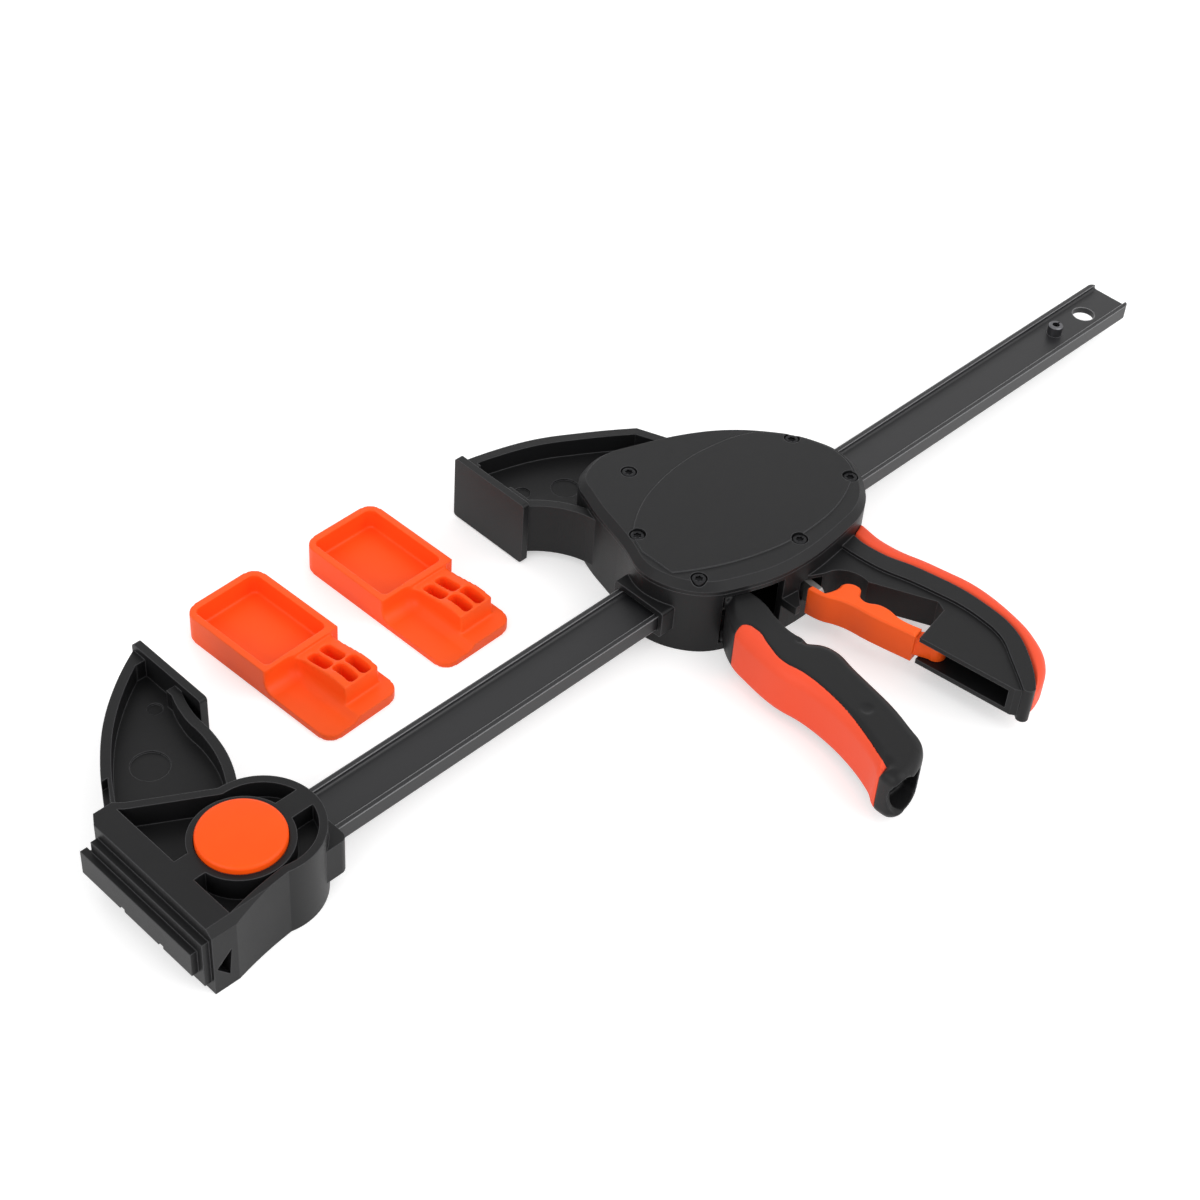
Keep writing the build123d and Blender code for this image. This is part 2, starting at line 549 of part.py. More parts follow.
def body_pockets(outline):
    """The hollows above and below the bar, round the button's ring and between the ribs."""
    low = -CUT_OVER
    high = BODY_TOP_Z + CUT_OVER
    pocket = slab(offset(outline, amount=-BODY_WALL), low, high)
    pocket -= middle_block(-FAR, FAR, -FAR, FAR, 2 * POCKET_FLOOR)
    pocket -= block(-BODY_STRIP, BODY_STRIP_WIDTH - BODY_STRIP, -FAR, FAR, low, high)
    pocket -= post(-BUTTON_BACK, 0, BUTTON_RADIUS + BUTTON_GAP + BUTTON_RING, low, high)
    pocket -= block(-BUTTON_BACK, 0, *FRONT_RIB, low, high)
    return pocket - block(-BODY_STRIP, -BUTTON_BACK, *BACK_RIB, low, high)


def body_end_cuts():
    """The slope at the low end of the body's strip, and the triangular hollow under it."""
    y = SIDE_WAIST[0][1]
    high = BODY_TOP_Z + CUT_OVER
    slope = polygon([(y - CUT_OVER, high), (y + STRIP_BEVEL + CUT_OVER, high),
                     (y - CUT_OVER, BODY_TOP_Z - STRIP_BEVEL - CUT_OVER)])
    cuts = Pos(-BODY_STRIP, 0, 0) * extrude(Plane.YZ * slope, amount=BODY_STRIP - NOSE_BACK, dir=(1, 0, 0))
    hollow = Plane.XZ * polygon(from_outer_edge(END_HOLLOW))
    hollow = extrude(hollow, amount=END_HOLLOW_DEPTH + CUT_OVER, dir=(0, 1, 0))
    return cuts + Pos(0, y - CUT_OVER, 0) * hollow


def fixed_arm(outline):
    """The fixed jaw's arm, with the step in its back next to the body."""
    arm_line = fixed_arm_outline()
    arm = i_section_arm(arm_line, outline, -JAW_FACE_THICKNESS, -1, FIXED_ARM_MARKS)
    edge = slab(arm_line, 0, BODY_TOP_Z)
    edge -= slab(offset(arm_line, amount=STEP_RIB - ARM_FLANGE), 0, BODY_TOP_Z)
    top = MID_Z + ARM_HEIGHT / 2
    return arm - (edge & block(-BODY_STRIP, -BUTTON_BACK, BODY_HIGH_Y, STEP_Y, top - STEP_DROP, top))


def make_rail():
    """The T-shaped rail along the outer end, where accessories slide on."""
    back = -BODY_STRIP
    rail = middle_block(-RAIL_OUTER, RAIL_LIP - RAIL_OUTER, RAIL_LOW_Y, RAIL_HIGH_Y, RAIL_HEIGHT)
    rail += middle_block(RAIL_LIP - RAIL_OUTER, back, RAIL_LOW_Y, RAIL_HIGH_Y, RAIL_NECK)
    y0 = RAIL_LOW_Y - RAIL_LEDGE
    rail += middle_block(back - RAIL_LEDGE, back, y0, RAIL_HIGH_Y - RAIL_LEDGE, RAIL_LEDGE_HEIGHT)
    low = MID_Z - RAIL_HEIGHT / 2
    for y in RAIL_NOTCHES:
        rail -= block(-RAIL_OUTER, RAIL_LIP - RAIL_OUTER, y, y + RAIL_NOTCH[0], low, low + RAIL_NOTCH[1])
    return rail


# ------------------------------------------------------------------ push button
def make_push_button():
    """The round cap: a shallow cup with a bevelled rim."""
    z0 = BUTTON_TOP_Z - BUTTON_SKIRT
    cap = post(BUTTON_X, 0, BUTTON_RADIUS, z0, BUTTON_TOP_Z)
    cap = chamfer(cap.edges().group_by(Axis.Z)[-1], BUTTON_BEVEL)
    return cap - post(BUTTON_X, 0, BUTTON_RADIUS - BUTTON_WALL, z0, BUTTON_TOP_Z - BUTTON_TOP)


def make_latch_pin():
    """The steel pin under the cap; its thick part locks the bar, its neck lets it slide out."""
    top = BUTTON_TOP_Z - BUTTON_TOP
    clip_top = LATCH_CLIP_Z + LATCH_CLIP_THICKNESS
    pin = post(BUTTON_X, 0, LATCH_RADIUS, clip_top, top)
    pin += post(BUTTON_X, 0, LATCH_NECK_RADIUS, LATCH_CLIP_Z - LATCH_TIP, clip_top)
    neck_z = MID_Z + BAR_WEB / 2 + LATCH_NECK_PLAY
    groove = post(BUTTON_X, 0, LATCH_RADIUS, neck_z, neck_z + BUTTON_TRAVEL + LATCH_NECK_PLAY)
    groove -= post(BUTTON_X, 0, LATCH_NECK_RADIUS, 0, BODY_TOP_Z)
    return pin - groove


def make_latch_clip():
    """The snap ring that keeps the pin in the jaw."""
    z0 = LATCH_CLIP_Z
    z1 = LATCH_CLIP_Z + LATCH_CLIP_THICKNESS
    clip = post(BUTTON_X, 0, LATCH_CLIP_RADIUS, z0, z1)
    clip -= post(BUTTON_X, 0, LATCH_NECK_RADIUS, z0, z1)
    half = LATCH_CLIP_SLIT / 2
    return clip - block(BUTTON_X, BUTTON_X + LATCH_CLIP_RADIUS, -half, half, z0, z1)


def make_latch_spring():
    """The spring that lifts the button."""
    length = BUTTON_TOP_Z - BUTTON_TOP - BUTTON_FLOOR_Z
    spring = coil(LATCH_SPRING_RADIUS, LATCH_SPRING_WIRE, LATCH_SPRING_TURNS, length)
    return Pos(BUTTON_X, 0, BUTTON_FLOOR_Z) * spring


# ------------------------------------------------------------------ housing
def handle_outline():
    """The middle part of the fixed handle, in front of its rim."""
    neck_start = [HANDLE_ROOT[1]]
    return ring_of(neck_start, HANDLE_NECK, *corners(HANDLE_WINDOW), *corners(HANDLE_FRONT), HANDLE_BACK)


def rim_outline():
    """The raised rim along the handle's back."""
    return ring_of([PALM_START], PALM_LINE, RIM_TIP, RIM_INNER)


def grip_outline():
    """The soft grip over the handle's back."""
    return ring_of([PALM_START], PALM_LINE, GRIP_OUTER)


def make_housing():
    """The moving jaw: arm and face, the hollow housing round the mechanism, and the handle."""
    outline = body_outline()
    inner = offset(outline, amount=-HOUSING_WALL)
    floor_z = HOUSING_BOTTOM_Z + HOUSING_FLOOR
    housing = slab(outline, HOUSING_BOTTOM_Z, HOUSING_TOP_Z)
    plate_back = MOVING_FACE_X + JAW_FACE_THICKNESS
    housing += i_section_arm(moving_arm_outline(), outline, plate_back, 1, MOVING_ARM_MARKS)
    housing += jaw_face(MOVING_FACE_X, plate_back)
    housing += make_handle()
    collar_end = FRONT_GUIDE_X + GUIDE_WALL
    collar = middle_block(COLLAR_X, collar_end, -COLLAR_HALF_WIDTH, COLLAR_HALF_WIDTH, COLLAR_HEIGHT)
    housing += fillet(collar.edges().filter_by(Axis.X), COLLAR_CORNER)
    housing -= slab(inner, floor_z, HOUSING_TOP_Z)
    housing += inner_walls(inner, floor_z)
    for x, y in SCREW_PLACES:
        housing += post(x, y, SCREW_BOSS_RADIUS, floor_z, HOUSING_TOP_Z)
    fork_low_z = MID_Z - TRIGGER_HEIGHT / 2
    housing += post(*TRIGGER_PIVOT, TRIGGER_EYE_RADIUS, HOUSING_BOTTOM_Z, fork_low_z - MOVING_GAP)
    housing -= bar_passage(COLLAR_X, FAR, BAR_SLIDE_GAP)
    housing -= lower_opening(TRIGGER_SLOT, TRIGGER_HEIGHT)
    housing -= lower_opening(TONGUE_SLOT, BRAKE_TONGUE)
    for x, y in SCREW_PLACES:
        housing -= post(x, y, SCREW_RADIUS, HOUSING_TOP_Z - SCREW_DEPTH, HOUSING_TOP_Z)
    housing -= post(*TRIGGER_PIVOT, TRIGGER_PIN_RADIUS, HOUSING_BOTTOM_Z + TRIGGER_PIN_SEAT, HOUSING_TOP_Z)
    return housing - release_seat()


def inner_walls(inner, floor_z):
    """The walls inside the housing that the bar passes and the springs push against."""
    front = FRONT_GUIDE_HALF_WIDTH
    rear = REAR_GUIDE_HALF_WIDTH
    walls = block(FRONT_GUIDE_X, FRONT_GUIDE_X + GUIDE_WALL, -front, front, floor_z, HOUSING_TOP_Z)
    walls += block(DRIVE_WALL_X, DRIVE_WALL_X + INNER_WALL, *DRIVE_WALL_Y, floor_z, HOUSING_TOP_Z)
    walls += block(BRAKE_WALL_X, BRAKE_WALL_X + INNER_WALL, *BRAKE_WALL_Y, floor_z, HOUSING_TOP_Z)
    walls += block(REAR_GUIDE_X - REAR_GUIDE_LENGTH, REAR_GUIDE_X, -rear, rear, floor_z, HOUSING_TOP_Z)
    x, y = BRAKE_FULCRUM
    half = FULCRUM_HALF_WIDTH
    walls += block(DRIVE_WALL_X, x - SEAT_GAP, y - half, y + half, floor_z, HOUSING_TOP_Z)
    return walls & slab(inner, floor_z, HOUSING_TOP_Z)


def lower_opening(slot, height):
    """A slot through the housing's lower wall, with room above and below what moves in it."""
    x0, x1, y1 = slot
    return middle_block(x0, x1, -FAR, y1, height + 2 * MOVING_GAP)


def make_handle():
    """The fixed handle: a middle part, hollow and open in front, and a raised rim along the back."""
    outline = handle_outline()
    rim = layer(rim_outline(), HANDLE_RIM_HEIGHT)
    middle = layer(outline, HANDLE_HEIGHT) - layer(grip_outline(), HANDLE_HEIGHT)
    channel = Pos(-HANDLE_BACK_WALL, 0, 0) * layer(outline, HANDLE_HOLLOW)
    channel &= block(-FAR, FAR, *HANDLE_HOLLOW_Y, 0, HOUSING_TOP_Z)
    return middle + rim + layer(polygon(NECK_WEB_LINE), NECK_WEB) - channel


def release_seat():
    """The room in the handle for the release lever's eye, and the holes of its pin."""
    x, y = RELEASE_PIVOT
    half = HANDLE_HOLLOW / 2
    room = post(x, y, RELEASE_EYE_RADIUS + RELEASE_EYE_ROOM, MID_Z - half, MID_Z + half)
    x0, x1, y0, y1 = RELEASE_DOOR
    room += middle_block(x + x0, x + x1, y + y0, y + y1, HANDLE_HOLLOW)
    pin_half = half + RELEASE_PIN_SINK
    return room + post(x, y, RELEASE_PIN_RADIUS, MID_Z - pin_half, MID_Z + pin_half)


def make_housing_cover():
    """The bolted cover: bevelled, with a raised field, hollow underneath, with sunk screw holes."""
    outline = body_outline()
    cover = slab(outline, HOUSING_TOP_Z, COVER_TOP_Z)
    cover = chamfer(cover.faces().sort_by(Axis.Z)[-1].edges(), COVER_BEVEL_DROP, COVER_BEVEL)
    leaf = ring_of(CROWN_HIGH[1:], CROWN_LOW[:1], CROWN_LOW[1:], CROWN_HIGH[:1])
    crown = slab(leaf, COVER_TOP_Z - CROWN_ROOT, COVER_TOP_Z + CROWN_RISE)
    cover += crown & slab(offset(outline, amount=-CROWN_MARGIN), 0, COVER_TOP_Z + CROWN_RISE)
    room = slab(offset(outline, amount=-COVER_RIM), HOUSING_TOP_Z, COVER_TOP_Z - COVER_PLATE)
    for x, y in SCREW_PLACES:
        room -= post(x, y, SCREW_BOSS_RADIUS, HOUSING_TOP_Z, COVER_TOP_Z)
    room -= post(*TRIGGER_PIVOT, TRIGGER_EYE_RADIUS, HOUSING_TOP_Z, COVER_TOP_Z)
    cover -= room
    cover -= post(*TRIGGER_PIVOT, TRIGGER_PIN_RADIUS + PIN_GAP, HOUSING_TOP_Z, COVER_TOP_Z - COVER_PLATE)
    for x, y in SCREW_PLACES:
        cover -= post(x, y, SCREW_HEAD_RADIUS + SCREW_RECESS_GAP, HEAD_Z, COVER_TOP_Z + CUT_OVER)
        cover -= post(x, y, SCREW_RADIUS + SCREW_PLAY, HOUSING_TOP_Z, COVER_TOP_Z)
    return cover


def make_cover_screws():
    """Six equal socket screws, all in one node."""
    screws = []
    for x, y in SCREW_PLACES:
        screw = post(x, y, SCREW_HEAD_RADIUS, HEAD_Z, HEAD_Z + SCREW_HEAD_HEIGHT)
        screw = chamfer(screw.edges().group_by(Axis.Z)[-1], SCREW_HEAD_BEVEL)
        screw += post(x, y, SCREW_RADIUS, HOUSING_TOP_Z - SCREW_DEPTH, HEAD_Z)
        socket = extrude(RegularPolygon(SCREW_SOCKET, 6), amount=SCREW_SOCKET_DEPTH)
        screws.append(screw - Pos(x, y, HEAD_Z + SCREW_HEAD_HEIGHT - SCREW_SOCKET_DEPTH) * socket)
    return Compound(screws)


def make_handle_grip():
    """The soft grip along the palm side of the handle, bevelled on the outside."""
    grip = layer(grip_outline(), HANDLE_RIM_HEIGHT)

    def outside(centre):
        beside = min(PALM_LINE, key=lambda place: abs(place[1] - centre.Y))
        return centre.X > beside[0] + GRIP_EDGE and centre.Y > PALM_LINE[-1][1] + GRIP_EDGE

    grip = bevelled(grip, GRIP_BEVEL, outside)
    return grip - slab(body_outline(), HOUSING_BOTTOM_Z, HOUSING_TOP_Z)


# ------------------------------------------------------------------ trigger and drive
def trigger_block(height, bevel):
    """The trigger below the housing as one block, bevelled in front and round its tip."""
    outline = ring_of([(TRIGGER_TOP_X, TRIGGER_ROOT_Y)], TRIGGER_FRONT, TRIGGER_BACK)
    plain = layer(outline, height)
    lever = bevelled(plain, bevel, lambda centre: centre.Y < TRIGGER_ROOT_Y - CUT_OVER)
    return lever + (plain & layer(polygon(TRIGGER_SQUARE_BACK), height))


def make_trigger_grip():
    """The soft front of the trigger: a skin in front with a thin lap on each side."""
    region = layer(ring_of(TRIGGER_SEAM, *corners(TRIGGER_GRIP_OUTSIDE)), TRIGGER_HEIGHT)
    core = trigger_block(TRIGGER_HEIGHT - 2 * TRIGGER_GRIP_LAP, TRIGGER_CORE_BEVEL)
    return (trigger_block(TRIGGER_HEIGHT, TRIGGER_BEVEL) & region) - Pos(TRIGGER_GRIP_SKIN, 0, 0) * core


def fork_outline():
    """One cheek of the fork, from the pivot eye down past the bar to the trigger's body."""
    x, y = TRIGGER_PIVOT
    r = TRIGGER_EYE_RADIUS
    nose_x = DRIVE_PLATE_X - SEAT_GAP
    nose_r = TRIGGER_NOSE_RADIUS
    nose_y = TRIGGER_NOSE_Y
    eye = [(x, y + r), (x - r, y)]
    lower = [(TRIGGER_TOP_X, TRIGGER_ROOT_Y), TRIGGER_BACK[-1], FORK_WAIST]
    lower.append((nose_x - nose_r, nose_y - nose_r))
    nose = [(nose_x, nose_y), (nose_x - nose_r, nose_y + nose_r)]
    return ring_of(eye, *corners(lower), nose, [(x + r, y)])


def tip_hollow():
    """The hollow in the flared tip, open at its end."""
    x0, x1, half = TIP_HOLLOW
    low_y = TRIGGER_FRONT[-1][1] - CUT_OVER
    hollow = block(x0, x1, low_y, TIP_HOLLOW_DEPTH_Y, MID_Z - half, MID_Z + half)
    return fillet(hollow.edges().filter_by(Axis.Y), TIP_HOLLOW_CORNER)


def make_trigger():
    """The trigger: a channel open towards the handle, a fork round the bar and a flared tip."""
    lever = trigger_block(TRIGGER_HEIGHT, TRIGGER_BEVEL)
    channel = trigger_block(TRIGGER_HEIGHT - 2 * TRIGGER_SKIN, TRIGGER_CORE_BEVEL)
    channel &= block(-FAR, 0, TRIGGER_CHANNEL_END_Y, 0, 0, HOUSING_TOP_Z)
    lever -= Pos(TRIGGER_FRONT_WALL, 0, 0) * channel
    lever -= tip_hollow()
    lever += layer(fork_outline(), TRIGGER_HEIGHT) - layer(fork_outline(), FORK_GAP)
    x, y = TRIGGER_PIVOT
    lever -= post(x, y, TRIGGER_PIN_RADIUS + PIN_GAP, 0, HOUSING_TOP_Z)
    return lever - make_trigger_grip()


def make_trigger_pin():
    """The steel pin that the trigger turns on, from the housing's floor into its cover."""
    z0 = HOUSING_BOTTOM_Z + TRIGGER_PIN_SEAT
    return post(*TRIGGER_PIVOT, TRIGGER_PIN_RADIUS, z0, COVER_TOP_Z - COVER_PLATE)


def make_drive_plate(x0):
    """One of the two hardened plates on the bar that the trigger pushes."""
    half = DRIVE_PLATE_HALF_WIDTH
    plate = middle_block(x0, x0 + DRIVE_PLATE, -half, half, DRIVE_PLATE_HEIGHT)
    plate = fillet(plate.edges().filter_by(Axis.X), PLATE_CORNER)
    return plate - bar_passage(x0 - CUT_OVER, x0 + DRIVE_PLATE + CUT_OVER, BAR_SLIDE_GAP)


def drive_plates_end():
    """The rear face of the two plates."""
    return DRIVE_PLATE_X + 2 * DRIVE_PLATE + PLATE_STACK_GAP


def make_drive_spring():
    """The spring round the bar that returns the plates and the trigger."""
    start = drive_plates_end() + SPRING_GAP
    length = DRIVE_WALL_X - SPRING_GAP - start
    return along_x(coil(SPRING_RADIUS, SPRING_WIRE, SPRING_TURNS, length), start)


# ------------------------------------------------------------------ brake and release
def brake_place():
    """Place of the leaning brake plate: its upper front edge at the fulcrum."""
    x, y = BRAKE_FULCRUM
    return Pos(x, y, MID_Z) * Rot(0, 0, -BRAKE_TILT)


def make_brake_plate():
    """The hardened plate that leans on the bar and locks it, with its tongue."""
    wide = block(0, BRAKE_PLATE, -BRAKE_WIDE_REACH, PLATE_CORNER, -BRAKE_HEIGHT / 2, BRAKE_HEIGHT / 2)
    wide = fillet(wide.edges().filter_by(Axis.X), PLATE_CORNER)
    tongue = block(0, BRAKE_PLATE, -BRAKE_REACH, -BRAKE_WIDE_REACH, -BRAKE_TONGUE / 2, BRAKE_TONGUE / 2)
    tongue = chamfer(tongue.edges().filter_by(Axis.X).group_by(Axis.Y)[0], BRAKE_TONGUE_BEVEL)
    tilt = radians(BRAKE_TILT)
    half = (BAR_WIDTH / 2 + BRAKE_BITE_GAP + BRAKE_PLATE / 2 * sin(tilt)) / cos(tilt)
    middle = -(BRAKE_FULCRUM[1] / cos(tilt)) + BRAKE_PLATE / 2 * sin(tilt) / cos(tilt)
    rise = BAR_THICKNESS / 2 + BAR_SLIDE_GAP
    hole = block(-CUT_OVER, BRAKE_PLATE + CUT_OVER, middle - half, middle + half, -rise, rise)
    return brake_place() * (wide + tongue - hole)


def make_brake_spring():
    """The spring that keeps the brake plate leaning."""
    x, y = BRAKE_FULCRUM
    tilt = radians(BRAKE_TILT)
    top = SPRING_RADIUS + SPRING_WIRE / 2
    start = x + BRAKE_PLATE / cos(tilt) - (y - top) * sin(tilt) / cos(tilt) + SPRING_GAP
    length = BRAKE_WALL_X - SPRING_GAP - start
    return along_x(coil(SPRING_RADIUS, SPRING_WIRE, SPRING_TURNS, length), start)


def make_release_lever():
    """The release lever: a bevelled finger strip whose upper lobe pushes the brake plate's tongue."""
    outline = ring_of(RELEASE_FRONT, *corners(RELEASE_FOOT), RELEASE_BACK, *corners(RELEASE_TOP))
    strip = bevelled(layer(outline, RELEASE_HEIGHT), RELEASE_BEVEL, lambda centre: True)
    x, y = RELEASE_PIVOT
    height = HANDLE_HOLLOW - 2 * SEAT_GAP
    eye = post(x, y, RELEASE_EYE_RADIUS, MID_Z - height / 2, MID_Z + height / 2)
    lever = strip + eye + layer(polygon(RELEASE_ARM), height)
    return lever - post(x, y, RELEASE_PIN_RADIUS + PIN_GAP, 0, HOUSING_TOP_Z)


def make_release_pin():
    """The steel pin in the handle that the release lever turns on."""
    half = HANDLE_HOLLOW / 2 + RELEASE_PIN_SINK
    return post(*RELEASE_PIVOT, RELEASE_PIN_RADIUS, MID_Z - half, MID_Z + half)


# ------------------------------------------------------------------ loose jaw pads
def make_jaw_pad(place, turn):
    """A pad that caps one jaw: a tray for the jaw face, and a slotted ridge beside a scoop."""
    half_length = PAD_LENGTH / 2
    half_width = PAD_WIDTH / 2
    tray_y = half_length - PAD_TRAY_LENGTH
    pad = block(-half_width, half_width, -half_length, half_length, 0, PAD_BASE)
    pad += block(-half_width, half_width, tray_y, half_length, 0, PAD_TRAY_HEIGHT)
    ridge = Plane.YZ * ring_of(PAD_RIDGE[:1], PAD_RIDGE[1:-1], PAD_RIDGE[-1:], [(PAD_RIDGE[0][0], 0)])
    pad += Pos(-half_width, 0, 0) * extrude(ridge, amount=PAD_WIDTH - PAD_LEDGE, dir=(1, 0, 0))
    plan = fillet(Rectangle(PAD_WIDTH, PAD_LENGTH).vertices(), PAD_CORNER)
    pad &= slab(plan, 0, 2 * PAD_TRAY_HEIGHT)
    pad -= pad_scoop()
    pocket = block(PAD_WALL - half_width, half_width - PAD_WALL, tray_y + PAD_WALL, half_length - PAD_WALL,
                   PAD_TRAY_HEIGHT - PAD_POCKET_DEPTH, PAD_TRAY_HEIGHT + CUT_OVER)
    pad -= fillet(pocket.edges().filter_by(Axis.Z), PAD_CORNER - PAD_WALL)
    for x, y in PAD_SLOTS:
        slot = Rot(0, 0, 90) * SlotOverall(PAD_SLOT_LENGTH, PAD_SLOT_WIDTH)
        pad -= Pos(x, y, 0) * slab(slot, PAD_SLOT_FLOOR, 2 * PAD_TRAY_HEIGHT)
    return Pos(*place, 0) * Rot(0, 0, turn) * pad


def pad_scoop():
    """The finger scoop: a hollow open to the side and the end, with rounded inner corners."""
    x, y, z = PAD_SCOOP
    hollow = block(-PAD_WIDTH, x, -PAD_LENGTH, y, z, z + PAD_TRAY_HEIGHT)
    inner = hollow.edges().filter_by(Axis.Y).group_by(Axis.Z)[0].sort_by(Axis.X)[-1:]
    inner += hollow.edges().filter_by(Axis.X).group_by(Axis.Z)[0].sort_by(Axis.Y)[-1:]
    inner += hollow.edges().filter_by(Axis.Z).sort_by(Axis.X)[-2:].sort_by(Axis.Y)[-1:]
    return fillet(inner, PAD_SCOOP_ROUND)


# ------------------------------------------------------------------ all nodes
def build_nodes():
    """Every node by name, in the working frame."""
    nodes = {
        "bar": make_bar(),
        "stop_pin": make_stop_pin(),
        "fixed_jaw": make_fixed_jaw(),
        "push_button": make_push_button(),
        "latch_pin": make_latch_pin(),
        "latch_clip": make_latch_clip(),
        "latch_spring": make_latch_spring(),
        "housing": make_housing(),
        "housing_cover": make_housing_cover(),
        "cover_screws": make_cover_screws(),
        "handle_grip": make_handle_grip(),
        "trigger": make_trigger(),
        "trigger_grip": make_trigger_grip(),
        "trigger_pin": make_trigger_pin(),
        "drive_plate_front": make_drive_plate(DRIVE_PLATE_X),
        "drive_plate_rear": make_drive_plate(DRIVE_PLATE_X + DRIVE_PLATE + PLATE_STACK_GAP),
        "drive_spring": make_drive_spring(),
        "brake_plate": make_brake_plate(),
        "brake_spring": make_brake_spring(),
        "release_lever": make_release_lever(),
        "release_pin": make_release_pin(),
    }
    for name, place, turn in zip(("jaw_pad_a", "jaw_pad_b"), PAD_PLACES, PAD_TURNS):
        nodes[name] = make_jaw_pad(place, turn)
    return nodes


def main():
    """Builds every node, moves them to the object's own origin and writes them."""
    nodes = build_nodes()
    box = Compound(list(nodes.values())).bounding_box()
    home = Pos(-box.center().X, -box.center().Y, -box.min.Z)
    os.makedirs("parts", exist_ok=True)
    for name, shape in nodes.items():
        export_step(home * shape, f"parts/{name}.step")


main()
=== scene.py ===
import json
from math import copysign, cos, hypot, pi, radians, sin

import bmesh
import bpy
from mathutils import Matrix, Vector
from mathutils.bvhtree import BVHTree


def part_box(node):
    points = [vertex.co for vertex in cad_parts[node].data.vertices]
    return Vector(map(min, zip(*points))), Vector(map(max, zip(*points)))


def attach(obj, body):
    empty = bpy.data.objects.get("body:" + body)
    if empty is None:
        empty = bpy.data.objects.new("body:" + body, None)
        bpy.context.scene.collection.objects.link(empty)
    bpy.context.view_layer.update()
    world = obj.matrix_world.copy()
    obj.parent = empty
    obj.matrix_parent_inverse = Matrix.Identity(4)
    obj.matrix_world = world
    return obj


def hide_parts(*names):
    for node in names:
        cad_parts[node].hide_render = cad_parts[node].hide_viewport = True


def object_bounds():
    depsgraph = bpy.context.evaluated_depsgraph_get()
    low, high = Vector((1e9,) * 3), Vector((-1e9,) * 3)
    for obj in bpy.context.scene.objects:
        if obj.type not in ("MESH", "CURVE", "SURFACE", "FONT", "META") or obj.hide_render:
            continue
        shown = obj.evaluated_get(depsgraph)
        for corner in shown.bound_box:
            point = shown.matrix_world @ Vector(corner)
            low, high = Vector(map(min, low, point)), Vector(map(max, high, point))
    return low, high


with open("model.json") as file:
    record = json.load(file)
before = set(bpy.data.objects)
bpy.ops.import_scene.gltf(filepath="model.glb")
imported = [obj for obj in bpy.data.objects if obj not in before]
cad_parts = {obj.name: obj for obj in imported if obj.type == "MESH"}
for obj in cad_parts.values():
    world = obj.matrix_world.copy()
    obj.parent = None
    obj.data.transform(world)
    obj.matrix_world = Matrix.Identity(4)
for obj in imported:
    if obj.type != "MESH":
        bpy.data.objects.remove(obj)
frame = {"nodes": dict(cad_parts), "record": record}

bl_info = {
    "name": "Quick release bar clamp",
    "version": (1, 0, 0),
    "blender": (4, 5, 0),
    "location": "View3D > Sidebar > Bar clamp",
    "description": "Finishes and small pieces of a one-handed bar clamp, in a plain studio",
    "category": "Object",
}

CAD_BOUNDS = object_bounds()
MM = 0.001

# Places are in millimetres on the bar's own lines: x along the bar to its free end, y across it
# towards the jaws, and z up from what the clamp lies on. The bar's middle plane is at MIDDLE_Z.
BAR_FREE_END = 251.6
MIDDLE_Z = 16.5
bar_low, bar_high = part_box("bar")
HOME = Vector((
    bar_high.x - BAR_FREE_END * MM,
    (bar_low.y + bar_high.y) / 2,
    (bar_low.z + bar_high.z) / 2 - MIDDLE_Z * MM,
))

# Cover screws: their places, the turn in radians from each to the next, and what they share,
# with the shank's radius and the length below the head's top.
SCREW_PLACES = [
    (-30.4, 47.0), (-56.0, 17.1), (-56.0, -17.1), (-7.9, -28.2), (37.6, -16.4), (37.6, 16.4)]
SCREW_TOP_Z = 35.8
SCREW_TURN = 0.83
SCREW_HEAD_DEPTH = 1.8
SCREW_SHANK = 1.5
SCREW_LENGTH = 12.8
LOBES = 6

# Springs: their turns, the points in one turn and the sides of their round wire.
SPRING_TURNS = 4.0
SPRING_STEPS = 40
WIRE_SIDES = 12

# Trigger and grips: the size of each skin's faces, the rounds of smoothing that ease it, and
# the lines that tell walls with rounded edges from the rest. Rounding begins at a FREE_Y, where
# a piece leaves the housing, and is full after FADE_LENGTH. The neck and the toe are the
# trigger's own front, above and below its soft grip. A face is upright when its normal rises
# by less than UPRIGHT, and a place nearer to its wall than WALL_NEAR takes the wall's direction.
MERGE_DISTANCE = 0.001
UPRIGHT = 0.1
WALL_NEAR = 1.0
TRIGGER_VOXEL = 0.46
TRIGGER_GRIP_VOXEL = 0.4
HANDLE_GRIP_VOXEL = 0.45
GRIP_EASING = 6
TRIGGER_FREE_Y = -30.0
HANDLE_FREE_Y = -32.0
FADE_LENGTH = 12.0
NECK_LOW_Y, NECK_HIGH_Y = -41.2, -29.0
TOE_X, TOE_Y = -70.0, -128.0
END_Y = -134.0
BACK_X = -62.0
BACK_SLOPE, BACK_OFFSET = 0.33, -22.0

# Hollows in the trigger, each with its centre and its three radii: the dish in its tip and two
# round marks on its top.
TRIGGER_TOP_Z = 28.75
TRIGGER_HOLLOWS = [
    ((-70.5, -141.5, 17.5), (8.4, 9.0, 10.4)),
    ((-46.0, -63.0, TRIGGER_TOP_Z), (1.7, 1.7, 0.8)),
    ((-55.0, -105.0, TRIGGER_TOP_Z), (2.8, 2.8, 0.5)),
]

